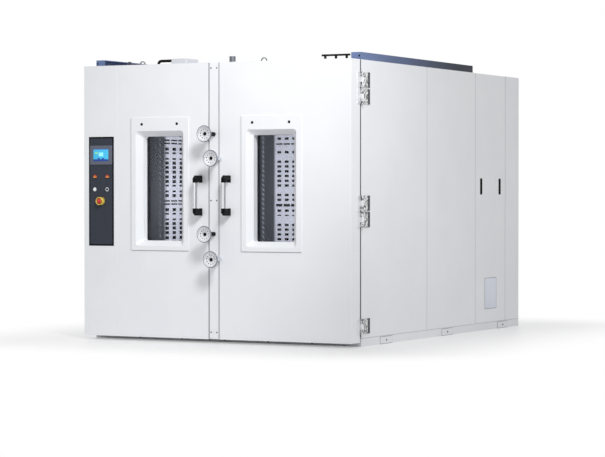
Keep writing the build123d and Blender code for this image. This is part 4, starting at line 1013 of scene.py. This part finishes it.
class CHAMBER_OT_stage(bpy.types.Operator):
    """Builds the floor, the world, the lamps and the camera."""

    bl_idname = "chamber.stage"
    bl_label = "Stage"

    def floor(self):
        """The paper floor: a flat square of four cells."""
        grid = (-FLOOR_REACH, 0.0, FLOOR_REACH)
        x, y = np.meshgrid(grid, grid, indexing="ij")
        points = np.stack((x, y, np.zeros_like(x)), -1)
        faces = [(first, first + 3, first + 4, first + 1) for first in (0, 1, 3, 4)]
        add_mesh("studio_floor", (points, faces), self.paper())

    def paper(self):
        """The camera sees paper white, and near the body a share of the lit floor, so that the
        shadow there shows. The share falls off with the distance from the body's footprint, the
        length of what each of |x - middle| - half has above zero."""
        material, tree = start_material("studio_floor_paper", "F2F2F3", 0.0, 0.35)
        source = add_node(tree, "TexCoord", output="Object")
        place = {"Location": (0, -SHADOW_MIDDLE_Y, 0), "Scale": (1, 1, 0)}
        offset = add_node(tree, "Mapping", {"Vector": source, **place})
        steps = (("ABSOLUTE",), ("SUBTRACT", SHADOW_HALF), ("MAXIMUM", (0, 0, 0)))
        offset = chain(tree, offset, *steps, kind="VectorMath")
        distance = add_node(tree, "VectorMath", (offset,), "Value", operation="LENGTH")
        sockets = {"Value": distance, "From Max": SHADOW_REACH, "To Min": SHADOW_WHITE}
        fade = add_node(tree, "MapRange", sockets, interpolation_type="SMOOTHSTEP")
        seen = add_node(tree, "LightPath", output="Is Camera Ray")
        share = chain(tree, seen, ("MULTIPLY", fade))
        glow = add_node(tree, "Emission", {"Color": WHITE, "Strength": 1.0})
        lit = tree.nodes[SHADER].outputs["BSDF"]
        mixed = add_node(tree, "MixShader", (share, lit, glow))
        tree.links.new(mixed, tree.nodes["Material Output"].inputs["Surface"])
        return material

    def world(self):
        """White where the camera, a gloss or a glass sees it, and dimmer as the object's light."""
        world = bpy.data.worlds.new("studio")
        bpy.context.scene.world = world
        world.use_nodes = True
        tree = world.node_tree
        tree.nodes.clear()
        rays = add_node(tree, "LightPath", output=None).outputs
        glossy, through = rays["Is Glossy Ray"], rays["Is Transmission Ray"]
        seen = chain(tree, rays["Is Camera Ray"], ("MAXIMUM", glossy), ("MAXIMUM", through))
        strength = add_node(tree, "MapRange", {"Value": seen, "To Min": WORLD_LIGHT})
        background = add_node(tree, "Background", {"Color": WHITE, "Strength": strength})
        add_node(tree, "OutputWorld", {"Surface": background}, None)

    def lamp(self, kind, name, place, target, power, **settings):
        """A lamp of a kind at a place, aimed at a target."""
        light = bpy.data.lights.new(name, kind)
        light.energy = power
        for key, value in settings.items():
            setattr(light, key, value)
        lamp = bpy.data.objects.new(name, light)
        lamp.location = place
        lamp.rotation_euler = (Vector(target) - Vector(place)).to_track_quat("-Z", "Y").to_euler()
        bpy.context.scene.collection.objects.link(lamp)
        return lamp

    def camera(self):
        """The photograph's camera."""
        data = bpy.data.cameras.new("photo_camera")
        data.sensor_fit = "HORIZONTAL"
        data.sensor_width = SENSOR_WIDTH
        data.lens = FOCAL_PIXELS / PHOTO_WIDTH * SENSOR_WIDTH
        data.clip_end = 200
        camera = bpy.data.objects.new("photo_camera", data)
        camera.location = CAMERA_PLACE
        camera.rotation_euler = (math.radians(90 - CAMERA_PITCH), 0, math.radians(CAMERA_YAW))
        bpy.context.scene.collection.objects.link(camera)
        bpy.context.scene.camera = camera

    def execute(self, context):
        self.floor()
        self.world()
        # The key is a soft spot from the upper right, so the light fades towards the lower right.
        self.lamp("SPOT", "key", (3.4, -5.2, 4.7), (0.15, -1.675, 1.72), 960,
                  spot_size=math.radians(42), spot_blend=1.0, shadow_soft_size=0.7)
        # A broad lamp on the right lifts the near end of the side wall.
        self.lamp("AREA", "side_fill", (5.2, -1.3, 2.5), (1.15, -1.4, 1.7), 12,
                  shape="DISK", size=1.8)
        # Two lamps in the test space, out of sight, light its perforated panels.
        for name, place, target in (
            ("side_panel_light", (0.2, -0.75, 1.15), (-1.0, -0.55, 1.12)),
            ("rear_panel_light", (-0.35, -0.95, 1.15), (-0.4, 0.24, 1.12)),
        ):
            inner = self.lamp("AREA", name, place, target, 15, shape="DISK", size=1.1)
            inner.visible_camera = False
            inner.visible_glossy = False
        self.camera()
        context.scene.view_settings.view_transform = "Standard"
        return {"FINISHED"}


STEPS = (
    CHAMBER_OT_finishes, CHAMBER_OT_air_panels, CHAMBER_OT_handwheel_caps,
    CHAMBER_OT_small_fixings, CHAMBER_OT_gaskets, CHAMBER_OT_beam_ends, CHAMBER_OT_stop_shroud,
    CHAMBER_OT_touch_display, CHAMBER_OT_side_trims, CHAMBER_OT_stage,
)


class CHAMBER_PT_panel(bpy.types.Panel):
    """Lists the steps and the settings in the sidebar."""

    bl_idname = "CHAMBER_PT_panel"
    bl_label = "Test chamber"
    bl_space_type = "VIEW_3D"
    bl_region_type = "UI"
    bl_category = "Chamber"

    def draw(self, context):
        for step in STEPS:
            self.layout.operator(step.bl_idname)
        for group in (context.scene.chamber_sizes, context.scene.chamber_colours):
            for name in group.__annotations__:
                self.layout.prop(group, name)


CLASSES = (ChamberSizes, ChamberColours, *STEPS, CHAMBER_PT_panel)


def register():
    """Registers the classes and the two groups of settings."""
    for item in CLASSES:
        bpy.utils.register_class(item)
    bpy.types.Scene.chamber_sizes = PointerProperty(type=ChamberSizes)
    bpy.types.Scene.chamber_colours = PointerProperty(type=ChamberColours)


def unregister():
    """Removes the settings and the classes."""
    del bpy.types.Scene.chamber_colours
    del bpy.types.Scene.chamber_sizes
    for item in reversed(CLASSES):
        bpy.utils.unregister_class(item)


def main():
    """Runs every step in order."""
    register()
    for step in STEPS:
        group, name = step.bl_idname.split(".")
        getattr(getattr(bpy.ops, group), name)()


if __name__ == "__main__":
    main()
